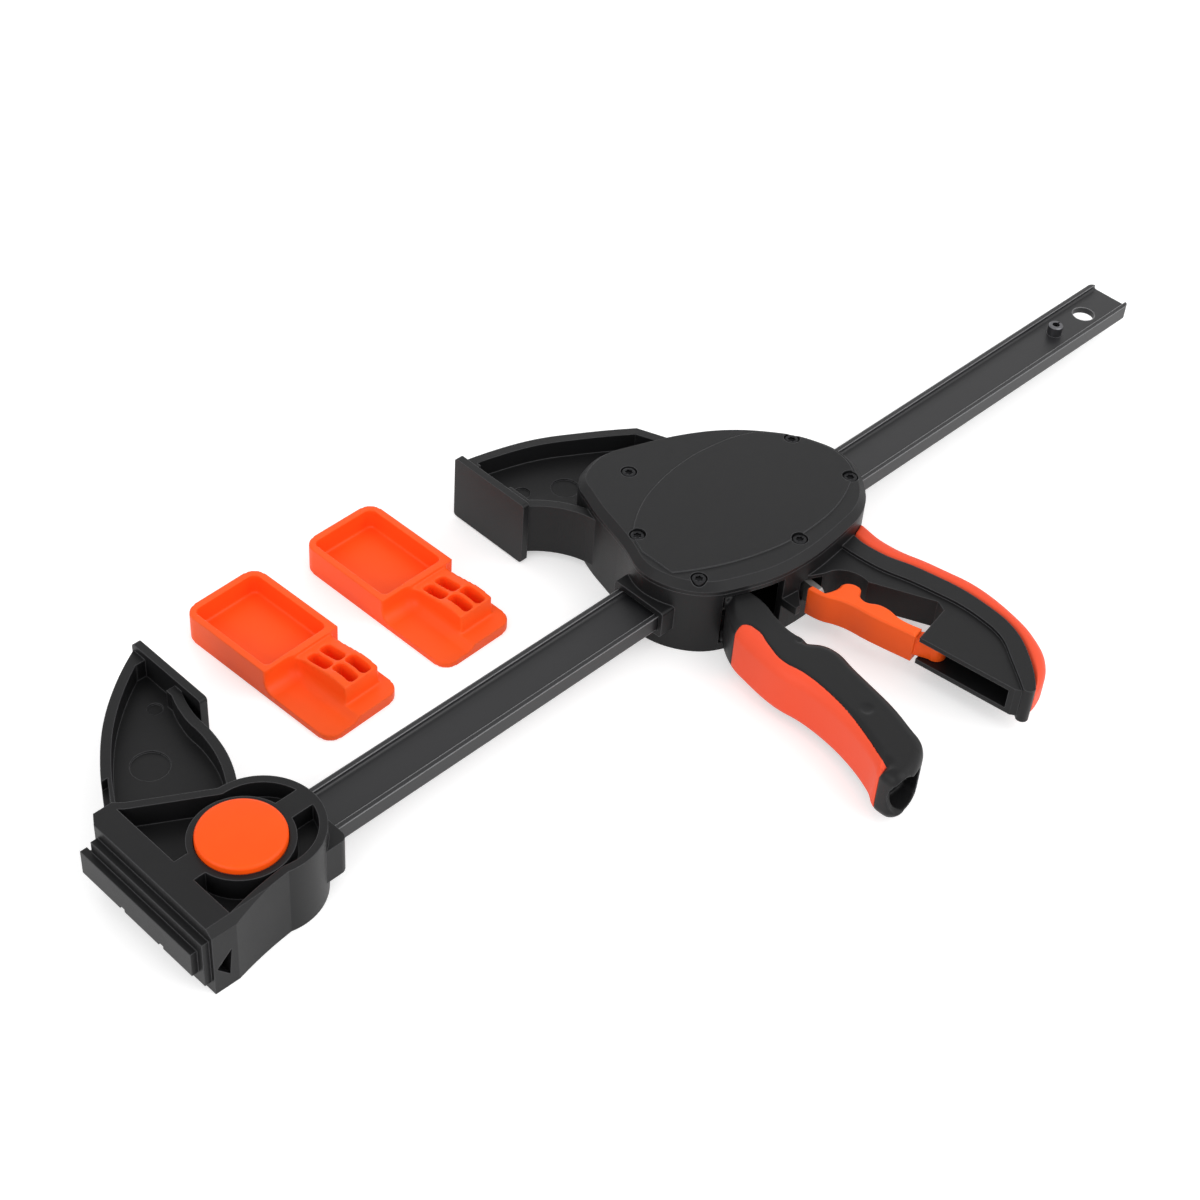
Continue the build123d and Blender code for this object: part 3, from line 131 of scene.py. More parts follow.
# Loose jaw pads: where they lie, with their turn in degrees, and what is cut from each, from
# the pad's own origin.
PAD_PLACES = [("jaw_pad_a", -185.0, 80.0, 2.5), ("jaw_pad_b", -124.3, 79.5, 1.5)]
PAD_VOXEL = 0.5
PAD_EASING = 5
CUT_TOP = 40.0
SCOOP_LOW = (-40.0, -60.0, 3.0)
SCOOP_HIGH = (-2.4, -5.4, CUT_TOP)
SCOOP_ROUND = 5.0
SLOT_MIDDLES = [(1.6, -15.0), (8.4, -15.0), (3.6, -27.2), (10.4, -27.2)]
SLOT_HALF_X, SLOT_HALF_Y = 2.5, 5.6
SLOT_FLOOR = 4.0
SLOT_ROUND = 1.6

# Push button: radius and height of its underside, its rounded rim and its crown.
BUTTON_UNDERSIDE = [(0.0, 34.0), (14.6, 34.0), (14.6, 29.1), (16.6, 29.1)]
BUTTON_RADIUS = 16.6
BUTTON_RIM_ROUND = 1.6
BUTTON_RIM_TOP = 36.0
BUTTON_CROWN = [(13.0, 36.2), (9.0, 36.45), (4.5, 36.57), (0.0, 36.6)]

# Studio: each lamp with the setting that gives its power, its place from the middle of the
# clamp and its two sides, in metres.
WHITE = (1.0, 1.0, 1.0, 1.0)
FLOOR_TINTS = ((0.82, 0.82, 0.82), (0.84, 0.84, 0.84))
FLOOR_LIFT = 0.46
LAMPS = [
    ("key_lamp", "key_power", (0.35, -1.05, 1.0), (1.4, 1.4)),
    ("fill_lamp", "fill_power", (-1.25, -0.1, 0.6), (1.0, 0.7)),
    ("back_lamp", "back_power", (0.9, 1.1, 0.45), (1.4, 0.25)),
]

# Camera: the point of the floor that it looks at, its distance in metres, its angles in
# radians, and its focal length in pixels of a frame that is FRAME_PIXELS wide.
CAMERA_AIM = (-66.01081, 25.46762, 0.0)
CAMERA_DISTANCE = 0.972488
CAMERA_AZIMUTH = 0.727309095
CAMERA_ELEVATION = 0.754701142
CAMERA_ROLL = 0.0823687222
FOCAL_PIXELS = 2350.917
FRAME_PIXELS = 1200
SENSOR_WIDTH = 36.0
NEAREST, FARTHEST = 0.01, 50.0


def at(x, y, z):
    """A place in metres, from millimetres on the bar's own lines."""
    return HOME + Vector((x, y, z)) * MM


def measured(place):
    """The other way round: millimetres on the bar's own lines, from a place in metres."""
    return (place - HOME) / MM


# ------------------------------------------------------------------ nodes and their maths
class Value:
    """A socket of a node tree that takes part in Python arithmetic."""

    def __init__(self, nodes, socket):
        self.nodes = nodes
        self.socket = socket

    def maths(self, operation, *terms, clamp=False):
        settings = {"operation": operation, "use_clamp": clamp}
        return self.nodes.node("ShaderNodeMath", settings, dict(enumerate(terms)))["Value"]

    def __add__(self, other):
        return self.maths("ADD", self, other)

    def __radd__(self, other):
        return self.maths("ADD", other, self)

    def __sub__(self, other):
        return self.maths("SUBTRACT", self, other)

    def __rsub__(self, other):
        return self.maths("SUBTRACT", other, self)

    def __mul__(self, other):
        return self.maths("MULTIPLY", self, other)

    def __rmul__(self, other):
        return self.maths("MULTIPLY", other, self)

    def kept(self):
        """The value, held between 0 and 1."""
        return self.maths("ADD", self, 0.0, clamp=True)


class Made:
    """A node whose outputs are read by name or number."""

    def __init__(self, nodes, node):
        self.nodes = nodes
        self.node = node

    def __getitem__(self, name):
        return Value(self.nodes, self.node.outputs[name])


class Nodes:
    """A node tree, emptied, and the one way in which its nodes are made."""

    def __init__(self, tree):
        self.tree = tree
        self.tree.nodes.clear()

    def node(self, kind, settings=None, inputs=None):
        """Any node: its settings are set first, then the values or links of its sockets."""
        node = self.tree.nodes.new(kind)
        for name, value in (settings or {}).items():
            setattr(node, name, value)
        for name, value in (inputs or {}).items():
            if isinstance(value, Value):
                self.tree.links.new(value.socket, node.inputs[name])
            else:
                node.inputs[name].default_value = value
        return Made(self, node)

    def seen(self):
        """1 for what the camera sees, straight or in a reflection or glass, and 0 for light."""
        rays = self.node("ShaderNodeLightPath")
        return (rays["Is Camera Ray"] + rays["Is Glossy Ray"] + rays["Is Transmission Ray"]).kept()


class Finish(Nodes):
    """A material and the patterns that its surface is made of."""

    # The Mix node's colour sockets, whose names also belong to its sockets for numbers.
    FIRST_COLOUR, SECOND_COLOUR, MIXED_COLOUR = 6, 7, 2
    EDGE_GAIN = 8.0

    def __init__(self, name):
        self.material = bpy.data.materials.new(name)
        self.material.use_nodes = True
        super().__init__(self.material.node_tree)

    def place(self):
        """Object coordinates, which keep a pattern fixed to its piece."""
        return self.node("ShaderNodeTexCoord")["Object"]

    def stretched(self, x, y, z):
        """Object coordinates scaled on each axis."""
        inputs = {"Vector": self.place(), "Scale": (x, y, z)}
        return self.node("ShaderNodeMapping", None, inputs)["Vector"]

    def noise(self, scale, detail=2.0, rough=0.5, place=None):
        """Cloudy noise from 0 to 1; scale is in patches for each metre."""
        inputs = {"Scale": scale, "Detail": detail, "Roughness": rough}
        inputs["Vector"] = place or self.place()
        return self.node("ShaderNodeTexNoise", {"noise_dimensions": "3D"}, inputs)["Fac"]

    def blend(self, share, first, second):
        """A colour between two, by a share from 0 to 1."""
        colours = [c if isinstance(c, Value) else (*c, 1.0) for c in (first, second)]
        inputs = {"Factor": share, self.FIRST_COLOUR: colours[0], self.SECOND_COLOUR: colours[1]}
        settings = {"data_type": "RGBA", "blend_type": "MIX"}
        return self.node("ShaderNodeMix", settings, inputs)[self.MIXED_COLOUR]

    def soft_edges(self, radius):
        """The surface's direction with its sharp edges rounded off; radius in millimetres."""
        return self.node("ShaderNodeBevel", {"samples": 6}, {"Radius": radius * MM})["Normal"]

    def edge_mask(self, rounded):
        """1 along sharp edges and 0 on open faces."""
        flat = self.node("ShaderNodeNewGeometry")["Normal"]
        settings = {"operation": "DOT_PRODUCT"}
        dot = self.node("ShaderNodeVectorMath", settings, {0: rounded, 1: flat})["Value"]
        return ((1.0 - dot) * self.EDGE_GAIN).kept()

    def relief(self, height, depth, normal):
        """A bump of the given depth in millimetres over an already rounded surface."""
        inputs = {"Height": height, "Distance": depth * MM, "Strength": 1.0, "Normal": normal}
        return self.node("ShaderNodeBump", None, inputs)["Normal"]

    def surface(self, **inputs):
        """Closes the material with a principled shader."""
        named = {name.replace("_", " "): value for name, value in inputs.items()}
        shader = self.node("ShaderNodeBsdfPrincipled", None, named)["BSDF"]
        self.node("ShaderNodeOutputMaterial", None, {"Surface": shader})
        return self.material


def toned(colour, share):
    """A colour made lighter or darker."""
    return tuple(part * share for part in colour)


# ------------------------------------------------------------------ finishes
def moulded(name, colour, roughness, grain=1.0, edge=0.6, highlight_and_wear=(0.11, 0.11, 0.115)):
    """Spark-finished moulded plastic: fine pebbled grain, faint flow clouds and a painted
    highlight on rubbed edges.
    """
    finish = Finish(name)
    rounded = finish.soft_edges(edge)
    mask = finish.edge_mask(rounded)
    pebbles = finish.noise(2600.0, detail=3.0, rough=0.6)
    clouds = finish.noise(55.0, detail=3.0, rough=0.55)
    tint = finish.blend(clouds, colour, toned(colour, 1.22))
    # Sharp edges are mixed towards a lighter colour: a painted highlight, partly rubbed wear.
    tint = finish.blend(mask * 0.6, tint, highlight_and_wear)
    rough = clouds * 0.10 + pebbles * 0.06 + (roughness - 0.08)
    normal = finish.relief(pebbles, 0.04 * grain, rounded)
    return finish.surface(
        Base_Color=tint, Roughness=rough, Normal=normal, Specular_IOR_Level=0.22)


def coated_steel(name, colour):
    """Satin black coating over drawn steel: faint lines along the bar and a painted highlight on
    rubbed corners.
    """
    finish = Finish(name)
    rounded = finish.soft_edges(0.8)
    mask = finish.edge_mask(rounded)
    drawn = finish.stretched(14.0, 900.0, 900.0)
    lines = finish.noise(1.0, detail=3.0, rough=0.6, place=drawn)
    specks = finish.noise(1800.0, rough=0.6)
    clouds = finish.noise(28.0, detail=3.0)
    tint = finish.blend(clouds * 0.6 + lines * 0.4, colour, toned(colour, 1.5))
    # Sharp corners are mixed towards light grey: a painted highlight, partly rubbed wear.
    tint = finish.blend(mask * 0.8, tint, (0.36, 0.36, 0.37))
    rough = 0.30 + lines * 0.10 + clouds * 0.08
    normal = finish.relief(specks * 0.6 + lines * 0.4, 0.03, rounded)
    return finish.surface(
        Base_Color=tint, Roughness=rough, Normal=normal, Specular_IOR_Level=0.4)


def bare_steel(name, colour, roughness):
    """Plain steel with fine machining lines and a little oil."""
    finish = Finish(name)
    rounded = finish.soft_edges(0.25)
    lines = finish.noise(1.0, place=finish.stretched(900.0, 900.0, 40.0))
    clouds = finish.noise(90.0, detail=3.0)
    tint = finish.blend(clouds, colour, toned(colour, 0.72))
    rough = roughness + lines * 0.12 + clouds * 0.08
    normal = finish.relief(lines, 0.02, rounded)
    return finish.surface(Base_Color=tint, Metallic=1.0, Roughness=rough, Normal=normal)


def rubber(name, colour, roughness):
    """Soft overmoulded grip: matt, very finely pebbled, a little darker where hands rub it."""
    finish = Finish(name)
    rounded = finish.soft_edges(0.5)
    pebbles = finish.noise(1900.0, detail=3.0, rough=0.65)
    clouds = finish.noise(38.0, detail=3.0, rough=0.55)
    tint = finish.blend(clouds * 0.5, colour, toned(colour, 0.86))
    rough = roughness + clouds * 0.08 - pebbles * 0.05
    normal = finish.relief(pebbles, 0.06, rounded)
    return finish.surface(
        Base_Color=tint, Roughness=rough, Normal=normal, Specular_IOR_Level=0.25)


def finish_of(slot):
    """The material made for one of the record's slots."""
    return next(m for m in bpy.data.materials if m.get("slot") == slot)


# ------------------------------------------------------------------ settings
def colour_setting(name, description, default):
    """A colour as shares of linear red, green and blue."""
    return bpy.props.FloatVectorProperty(
        name=name, description=description, subtype="COLOR", size=3, min=0.0, max=1.0,
        default=default)


def length_setting(name, description, default, low, high):
    """A length with its limits, all given in millimetres."""
    return bpy.props.FloatProperty(
        name=name, description=description, subtype="DISTANCE",
        default=default * MM, min=low * MM, max=high * MM)


def power_setting(name, description, default):
    """A lamp's power in watts."""
    return bpy.props.FloatProperty(
        name=name, description=description, subtype="POWER", default=default, min=0.0, max=200.0)


class ClampColours(bpy.types.PropertyGroup):
    """Colours of the clamp's finishes."""

    black: colour_setting(
        "Black plastic", "Moulded body, cover, trigger and arms", (0.0075, 0.0075, 0.008))
    bar: colour_setting("Bar", "Coating of the steel bar", (0.010, 0.010, 0.011))
    button: colour_setting("Button", "Push button of the fixed jaw", (0.95, 0.084, 0.003))
    grip: colour_setting(
        "Soft grips", "Soft front of the trigger and back of the handle", (0.95, 0.092, 0.034))
    pad: colour_setting("Jaw pads", "Loose pads that cap the jaws", (0.94, 0.094, 0.010))
    lever: colour_setting(
        "Release lever", "Lever between trigger and handle", (0.95, 0.105, 0.01))
    spring: colour_setting("Spring wire", "Wire of the three springs", (0.5, 0.5, 0.52))


class ClampSizes(bpy.types.PropertyGroup):
    """Sizes of the pieces that are made here."""

    screw_head: length_setting("Screw head", "Radius of a cover screw's head", 3.0, 1.0, 5.0)
    screw_socket: length_setting(
        "Screw socket", "Radius of the socket in a screw's head", 1.5, 0.5, 2.5)
    spring_radius: length_setting(
        "Large spring", "Radius of the drive and brake springs, to the middle of the wire",
        12.9, 8.0, 16.0)
    spring_wire: length_setting(
        "Large spring wire", "Diameter of the drive and brake springs' wire", 1.6, 0.8, 2.4)
    latch_radius: length_setting(
        "Latch spring", "Radius of the spring under the button, to the middle of the wire",
        7.2, 5.0, 9.0)
    latch_wire: length_setting(
        "Latch spring wire", "Diameter of that spring's wire", 1.3, 0.6, 2.0)
    trigger_height: length_setting(
        "Trigger's height", "Height of the trigger about the middle plane", 24.5, 20.0, 28.0)
    grip_height: length_setting(
        "Grip's height", "Height of the handle's grip about the middle plane", 17.0, 14.0, 20.0)
    front_round: length_setting(
        "Trigger's front edge", "Radius of the trigger's rounded front edges", 5.2, 1.0, 8.0)
    back_round: length_setting(
        "Trigger's back edge", "Radius of the trigger's rounded back edges", 5.0, 0.5, 6.0)
    palm_round: length_setting(
        "Handle's edge", "Radius of the rounded outer edges of the handle's grip",
        5.0, 1.0, 8.0)


class StageSettings(bpy.types.PropertyGroup):
    """The studio round the clamp."""

    floor_size: bpy.props.FloatProperty(
        name="Floor", description="Length of the floor's side", subtype="DISTANCE",
        default=8.0, min=2.0, max=20.0)
    key_power: power_setting("Key lamp", "Power of the large lamp on the handles' side", 10.0)
    fill_power: power_setting("Fill lamp", "Power of the lamp on the fixed jaw's side", 5.0)
    back_power: power_setting("Back lamp", "Power of the long lamp behind the clamp", 2.0)
    sky: bpy.props.FloatProperty(
        name="Sky", description="Strength of the even light from all round",
        default=0.68, min=0.0, max=3.0)


# ------------------------------------------------------------------ meshes and objects
def placed(name, mesh):
    """An object for a mesh, at the origin of the scene."""
    piece = bpy.data.objects.new(name, mesh)
    bpy.context.scene.collection.objects.link(piece)
    return piece


def taken(shape, name):
    """The mesh of a bmesh, which is freed."""
    mesh = bpy.data.meshes.new(name)
    shape.to_mesh(mesh)
    shape.free()
    return mesh


def baked(carrier):
    """The mesh that a carrier's modifiers make of it; the carrier is removed."""
    graph = bpy.context.evaluated_depsgraph_get()
    graph.update()
    mesh = bpy.data.meshes.new_from_object(carrier.evaluated_get(graph))
    carrier.modifiers.clear()
    bpy.data.objects.remove(carrier)
    return mesh


def shade(mesh, crease):
    """Smooth shading, with creases where faces meet at more than this angle in degrees."""
    mesh.polygons.foreach_set("use_smooth", [True] * len(mesh.polygons))
    mesh.set_sharp_from_angle(angle=radians(crease))


def finished(piece, name, body, slot, node):
    """Names a piece that stands for a node, and gives it its slot's finish and its body."""
    piece.name = name
    piece.data.name = name
    piece.data.materials.clear()
    piece.data.materials.append(finish_of(slot))
    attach(piece, body)
    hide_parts(node)


def turned(name, profile, around, crease):
    """A piece turned about its own upright axis. The profile's rows are a radius and a height
    in millimetres; a third number is the share by which lobes swell and shrink that radius.
    An end of the profile that isn't on the axis is closed with a flat face."""
    shape = bmesh.new()
    rings = []
    for radius, height, *swell in profile:
        if radius == 0.0:
            rings.append([shape.verts.new((0.0, 0.0, height * MM))] * around)
            continue
        ring = []
        for i in range(around):
            angle = 2 * pi * i / around
            reach = radius * MM * (1.0 + sum(swell) * cos(LOBES * angle))
            ring.append(shape.verts.new((reach * cos(angle), reach * sin(angle), height * MM)))
        rings.append(ring)
    for low, high in zip(rings, rings[1:]):
        for i in range(around):
            j = (i + 1) % around
            shape.faces.new(list(dict.fromkeys((low[i], low[j], high[j], high[i]))))
    for end in (rings[0], rings[-1]):
        if end[0] is not end[1]:
            shape.faces.new(end)
    bmesh.ops.recalc_face_normals(shape, faces=shape.faces)
    mesh = taken(shape, name)
    shade(mesh, crease)
    return placed(name, mesh)


# ------------------------------------------------------------------ screws and springs
class Tree(Nodes):
    """A geometry node tree with named inputs."""

    def __init__(self, name, inputs):
        super().__init__(bpy.data.node_groups.new(name, "GeometryNodeTree"))
        labels = self.tree.interface
        labels.new_socket("Geometry", in_out="INPUT", socket_type="NodeSocketGeometry")
        for label, kind in inputs.items():
            labels.new_socket(label, in_out="INPUT", socket_type="NodeSocket" + kind)
        labels.new_socket("Geometry", in_out="OUTPUT", socket_type="NodeSocketGeometry")
        self.start = self.node("NodeGroupInput")

    def given(self, label):
        """One of the tree's inputs."""
        return self.start[label]

    def finish(self, geometry):
        """Ends the tree in Realize Instances and Set Material."""
        real = self.node("GeometryNodeRealizeInstances", None, {"Geometry": geometry})["Geometry"]
        painted = self.node("GeometryNodeSetMaterial", None, {
            "Geometry": real, "Material": self.given("Material")})["Geometry"]
        self.node("NodeGroupOutput", None, {"Geometry": painted})
        return self.tree


def grown(name, group, values, base):
    """A plain mesh object that a geometry node tree makes of a base mesh with these inputs."""
    carrier = placed(name + "_carrier", base)
    modifier = carrier.modifiers.new("Growth", "NODES")
    modifier.node_group = group
    for socket in group.interface.items_tree:
        if socket.in_out == "INPUT" and socket.name in values:
            modifier[socket.identifier] = values[socket.name]
    return placed(name, baked(carrier))


def spring_tree():
    """A compression spring: a helix of round wire from one end of its length to the other."""
    tree = Tree("Compression spring", {
        "Radius": "Float", "Wire": "Float", "Turns": "Float", "Length": "Float",
        "Place": "Vector", "Turn": "Vector", "Material": "Material"})
    given = tree.given
    half = given("Wire") * 0.5
    helix = tree.node("GeometryNodeCurveSpiral", None, {
        "Resolution": SPRING_STEPS, "Rotations": given("Turns"),
        "Start Radius": given("Radius"), "End Radius": given("Radius"),
        "Height": given("Length") - given("Wire")})["Curve"]
    lift = tree.node("ShaderNodeCombineXYZ", None, {"Z": half})["Vector"]
    lifted = tree.node("GeometryNodeTransform", None, {
        "Geometry": helix, "Translation": lift})["Geometry"]
    wire = tree.node("GeometryNodeCurvePrimitiveCircle", None, {
        "Resolution": WIRE_SIDES, "Radius": half})["Curve"]
    tube = tree.node("GeometryNodeCurveToMesh", None, {
        "Curve": lifted, "Profile Curve": wire, "Fill Caps": True})["Mesh"]
    seated = tree.node("GeometryNodeTransform", None, {
        "Geometry": tube, "Rotation": given("Turn"), "Translation": given("Place")})["Geometry"]
    return tree.finish(seated)


def screw_tree(blank):
    """Equal screws, one at each point of the base mesh, each turned further than the last."""
    tree = Tree("Cover screws", {"Turn": "Float", "Material": "Material"})
    screw = tree.node("GeometryNodeObjectInfo", None, {"Object": blank})["Geometry"]
    index = tree.node("GeometryNodeInputIndex")["Index"]
    turn = tree.node("ShaderNodeCombineXYZ", None, {"Z": index * tree.given("Turn")})["Vector"]
    screws = tree.node("GeometryNodeInstanceOnPoints", None, {
        "Points": tree.given("Geometry"), "Instance": screw, "Rotation": turn})["Instances"]
    return tree.finish(screws)


def screw_blank(head, socket):
    """One cover screw with a six-lobed socket, its head's top at the origin; the radii of head
    and socket are in millimetres."""
    return turned("screw_blank", [
        (SCREW_SHANK, -SCREW_LENGTH), (SCREW_SHANK, -SCREW_HEAD_DEPTH),
        (head, -SCREW_HEAD_DEPTH), (head, -0.5), (head - 0.15, -0.15), (head - 0.5, 0.0),
        (socket * 1.12, 0.0, 0.10), (socket, -0.12, 0.14), (socket, -1.1, 0.14),
        (socket * 0.3, -1.35),
    ], around=48, crease=35.0)


# ------------------------------------------------------------------ trigger, grips and pads
def even_skin(name, node, home, voxel, easing, cutters=()):
    """A copy of a node as a closed skin of small even faces, squared up with its own home frame.
    The cutters, given in that frame, are taken away, and the edges are eased by rounds of
    smoothing. The size of the faces, voxel, is in millimetres."""
    shape = bmesh.new()
    shape.from_mesh(frame["nodes"][node].data)
    bmesh.ops.remove_doubles(shape, verts=shape.verts, dist=MERGE_DISTANCE * MM)
    shape.transform(home.inverted())
    carrier = placed(name + "_carrier", taken(shape, name + "_carrier"))
    for cutter in cutters:
        cut = carrier.modifiers.new("Cut", "BOOLEAN")
        cut.operation = "DIFFERENCE"
        cut.solver = "EXACT"
        cut.object = cutter
    skin = carrier.modifiers.new("Skin", "REMESH")
    skin.mode = "VOXEL"
    skin.voxel_size = voxel * MM
    ease = carrier.modifiers.new("Ease", "SMOOTH")
    ease.factor = 0.5
    ease.iterations = easing
    mesh = baked(carrier)
    for cutter in cutters:
        bpy.data.objects.remove(cutter)
    mesh.transform(home)
    return placed(name, mesh)


def soft_block(low, high, radius):
    """A box with rounded edges between two corners, for cutting; all in millimetres."""
    shape = bmesh.new()
    bmesh.ops.create_cube(shape, size=1.0)
    low = Vector(low) * MM
    high = Vector(high) * MM
    for vertex in shape.verts:
        vertex.co = [(a + b) / 2 + c * (b - a) for a, b, c in zip(low, high, vertex.co)]
    bmesh.ops.bevel(
        shape, geom=shape.edges[:], offset=radius * MM, segments=6, profile=0.5, affect="EDGES")
    return placed("block", taken(shape, "block"))


def soft_egg(centre, radii):
    """An egg with these three radii about a centre, for cutting; all in millimetres."""
    shape = bmesh.new()
    bmesh.ops.create_icosphere(shape, subdivisions=4, radius=MM)
    shape.transform(Matrix.Translation(Vector(centre) * MM) @ Matrix.Diagonal((*radii, 1.0)))
    return placed("egg", taken(shape, "egg"))


def outer_walls(*tests):
    """Upright faces of nodes, told apart by a test of their normal and place, as thin strips
    along the middle plane in which the nearest can be found."""
    points = []
    strips = []
    up = Vector((0, 0, 1))
    middle = at(0, 0, MIDDLE_Z).z
    for node, is_outer in tests:
        mesh = frame["nodes"][node].data
        for face in mesh.polygons:
            if abs(face.normal.z) < UPRIGHT and is_outer(face.normal, measured(face.center)):
                along = up.cross(face.normal)
                ends = sorted((mesh.vertices[i].co for i in face.vertices), key=along.dot)
                for end, rise in ((ends[0], -1), (ends[-1], -1), (ends[-1], 1), (ends[0], 1)):
                    points.append(Vector((end.x, end.y, middle + rise * MM)))
                strips.append(range(len(points) - 4, len(points)))
    return BVHTree.FromPolygons(points, strips)


def grip_front(normal, place):
    """The side of the trigger's soft grip that fingers pull."""
    return normal.x < -0.2


def trigger_front(normal, place):
    """The trigger's own front, above and below its soft grip."""
    in_neck = NECK_LOW_Y < place.y < NECK_HIGH_Y
    in_toe = place.y < TOE_Y and place.x < TOE_X
    return normal.x < -0.2 and (in_neck or in_toe)


def trigger_end(normal, place):
    """The trigger's free end."""
    return normal.y < -0.3 and place.y < END_Y


def trigger_back(normal, place):
    """The side of the trigger that faces the handle."""
    is_back = place.x > BACK_X and place.x > BACK_SLOPE * place.y + BACK_OFFSET
    return normal.x > 0.3 and is_back


def palm_side(normal, place):
    """The outer side and the free end of the handle's grip."""
    return normal.x > 0.2 or normal.y < -0.6


def round_over(mesh, walls, radius, height, free_y):
    """Rounds the upper and lower edges along the walls of a piece of this height about the
    middle plane: what stands outside the round is drawn in to it. The round fades out over
    the last stretch before free_y."""
    middle = at(0, 0, MIDDLE_Z).z
    for vertex in mesh.vertices:
        place = Vector((vertex.co.x, vertex.co.y, middle))
        fade = min((free_y - measured(place).y) / FADE_LENGTH, 1.0)
        if fade <= 0.0:
            continue
        near, normal, _, inside = walls.find_nearest(place)
        if inside < WALL_NEAR * MM:
            inward = -normal
            inside = (place - near).dot(inward)
        else:
            inward = (place - near).normalized()
        side = vertex.co.z - middle
        below = height / 2 - abs(side)
        reach = hypot(radius - inside, radius - below)
        if inside < radius and below < radius and reach > radius:
            share = radius / reach
            place = near + inward * (radius - (radius - inside) * share)
            below = radius - (radius - below) * share
            drawn_in = Vector((place.x, place.y, middle + copysign(height / 2 - below, side)))
            vertex.co = vertex.co.lerp(drawn_in, fade * fade * (3.0 - 2.0 * fade))


# ------------------------------------------------------------------ operators
class CLAMP_OT_finishes(bpy.types.Operator):
    """Gives every node of the frame its finish"""

    bl_idname = "clamp.finishes"
    bl_label = "Finishes"

    def execute(self, context):
        colours = context.scene.clamp_colours
        black = tuple(colours.black)
        made = {
            "bar_steel": coated_steel("Coated bar", tuple(colours.bar)),
            "pin_steel": bare_steel("Blued pin steel", (0.16, 0.16, 0.17), 0.32),
            "spring_steel": bare_steel("Spring wire", tuple(colours.spring), 0.25),
            "plate_steel": bare_steel("Hardened plate", (0.34, 0.33, 0.32), 0.34),
            "screw_steel": bare_steel("Blackened screw", (0.035, 0.035, 0.037), 0.38),
            "jaw_plastic": moulded("Jaw plastic", black, 0.42),
            "cover_plastic": moulded("Cover plastic", toned(black, 1.15), 0.46, grain=1.3),
            "trigger_plastic": moulded("Trigger plastic", toned(black, 0.95), 0.42),
            # The lighter edge colours of the orange pieces are a painted highlight, partly rubbed
            # wear.
            "button_plastic": moulded(
                "Button plastic", tuple(colours.button), 0.42,
                grain=0.8, edge=0.5, highlight_and_wear=(1.0, 0.16, 0.03)),
            "lever_plastic": moulded(
                "Lever plastic", tuple(colours.lever), 0.4,
                grain=0.7, highlight_and_wear=(1.0, 0.2, 0.05)),
            "soft_grip": rubber("Soft grip", tuple(colours.grip), 0.5),
            "pad_rubber": moulded(
                "Pad plastic", tuple(colours.pad), 0.42,
                grain=0.8, edge=0.5, highlight_and_wear=(1.0, 0.15, 0.03)),
        }
        for slot, material in made.items():
            material["slot"] = slot
        for part in frame["record"]["subparts"]:
            materials = frame["nodes"][part["node"]].data.materials
            materials.clear()
            materials.append(made[part["material_slot"]])
        return {"FINISHED"}


class CLAMP_OT_screws(bpy.types.Operator):
    """Makes the six cover screws with their sockets"""

    bl_idname = "clamp.screws"
    bl_label = "Cover screws"

    def execute(self, context):
        sizes = context.scene.clamp_sizes
        blank = screw_blank(sizes.screw_head / MM, sizes.screw_socket / MM)
        base = bpy.data.meshes.new("screw_places")
        base.from_pydata([at(x, y, SCREW_TOP_Z) for x, y in SCREW_PLACES], [], [])
        values = {"Turn": SCREW_TURN, "Material": finish_of("screw_steel")}
        screws = grown("screws", screw_tree(blank), values, base)
        bpy.data.objects.remove(blank)
        finished(screws, "socket_screws", "sliding_jaw", "screw_steel", "cover_screws")
        return {"FINISHED"}


class CLAMP_OT_springs(bpy.types.Operator):
    """Makes the drive, brake and latch springs"""

    bl_idname = "clamp.springs"
    bl_label = "Springs"

    def execute(self, context):
        sizes = context.scene.clamp_sizes
        tree = spring_tree()
        rows = [
            ("drive_spring", "sliding_jaw", sizes.spring_radius, sizes.spring_wire, True),
            ("brake_spring", "sliding_jaw", sizes.spring_radius, sizes.spring_wire, True),
            ("latch_spring", "root", sizes.latch_radius, sizes.latch_wire, False),
        ]
        for node, body, radius, wire, is_lying in rows:
            low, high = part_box(node)
            middle = (low + high) / 2
            values = {
                "Radius": radius,
                "Wire": wire,
                "Turns": SPRING_TURNS,
                "Length": high.x - low.x if is_lying else high.z - low.z,
                "Place": (low.x, middle.y, middle.z) if is_lying else (middle.x, middle.y, low.z),
                "Turn": (0.0, pi / 2 if is_lying else 0.0, 0.0),
                "Material": finish_of("spring_steel"),
            }
            spring = grown(node + "_wire", tree, values, bpy.data.meshes.new(node + "_base"))
            shade(spring.data, 60.0)
            finished(spring, node + "_coil", body, "spring_steel", node)
        return {"FINISHED"}


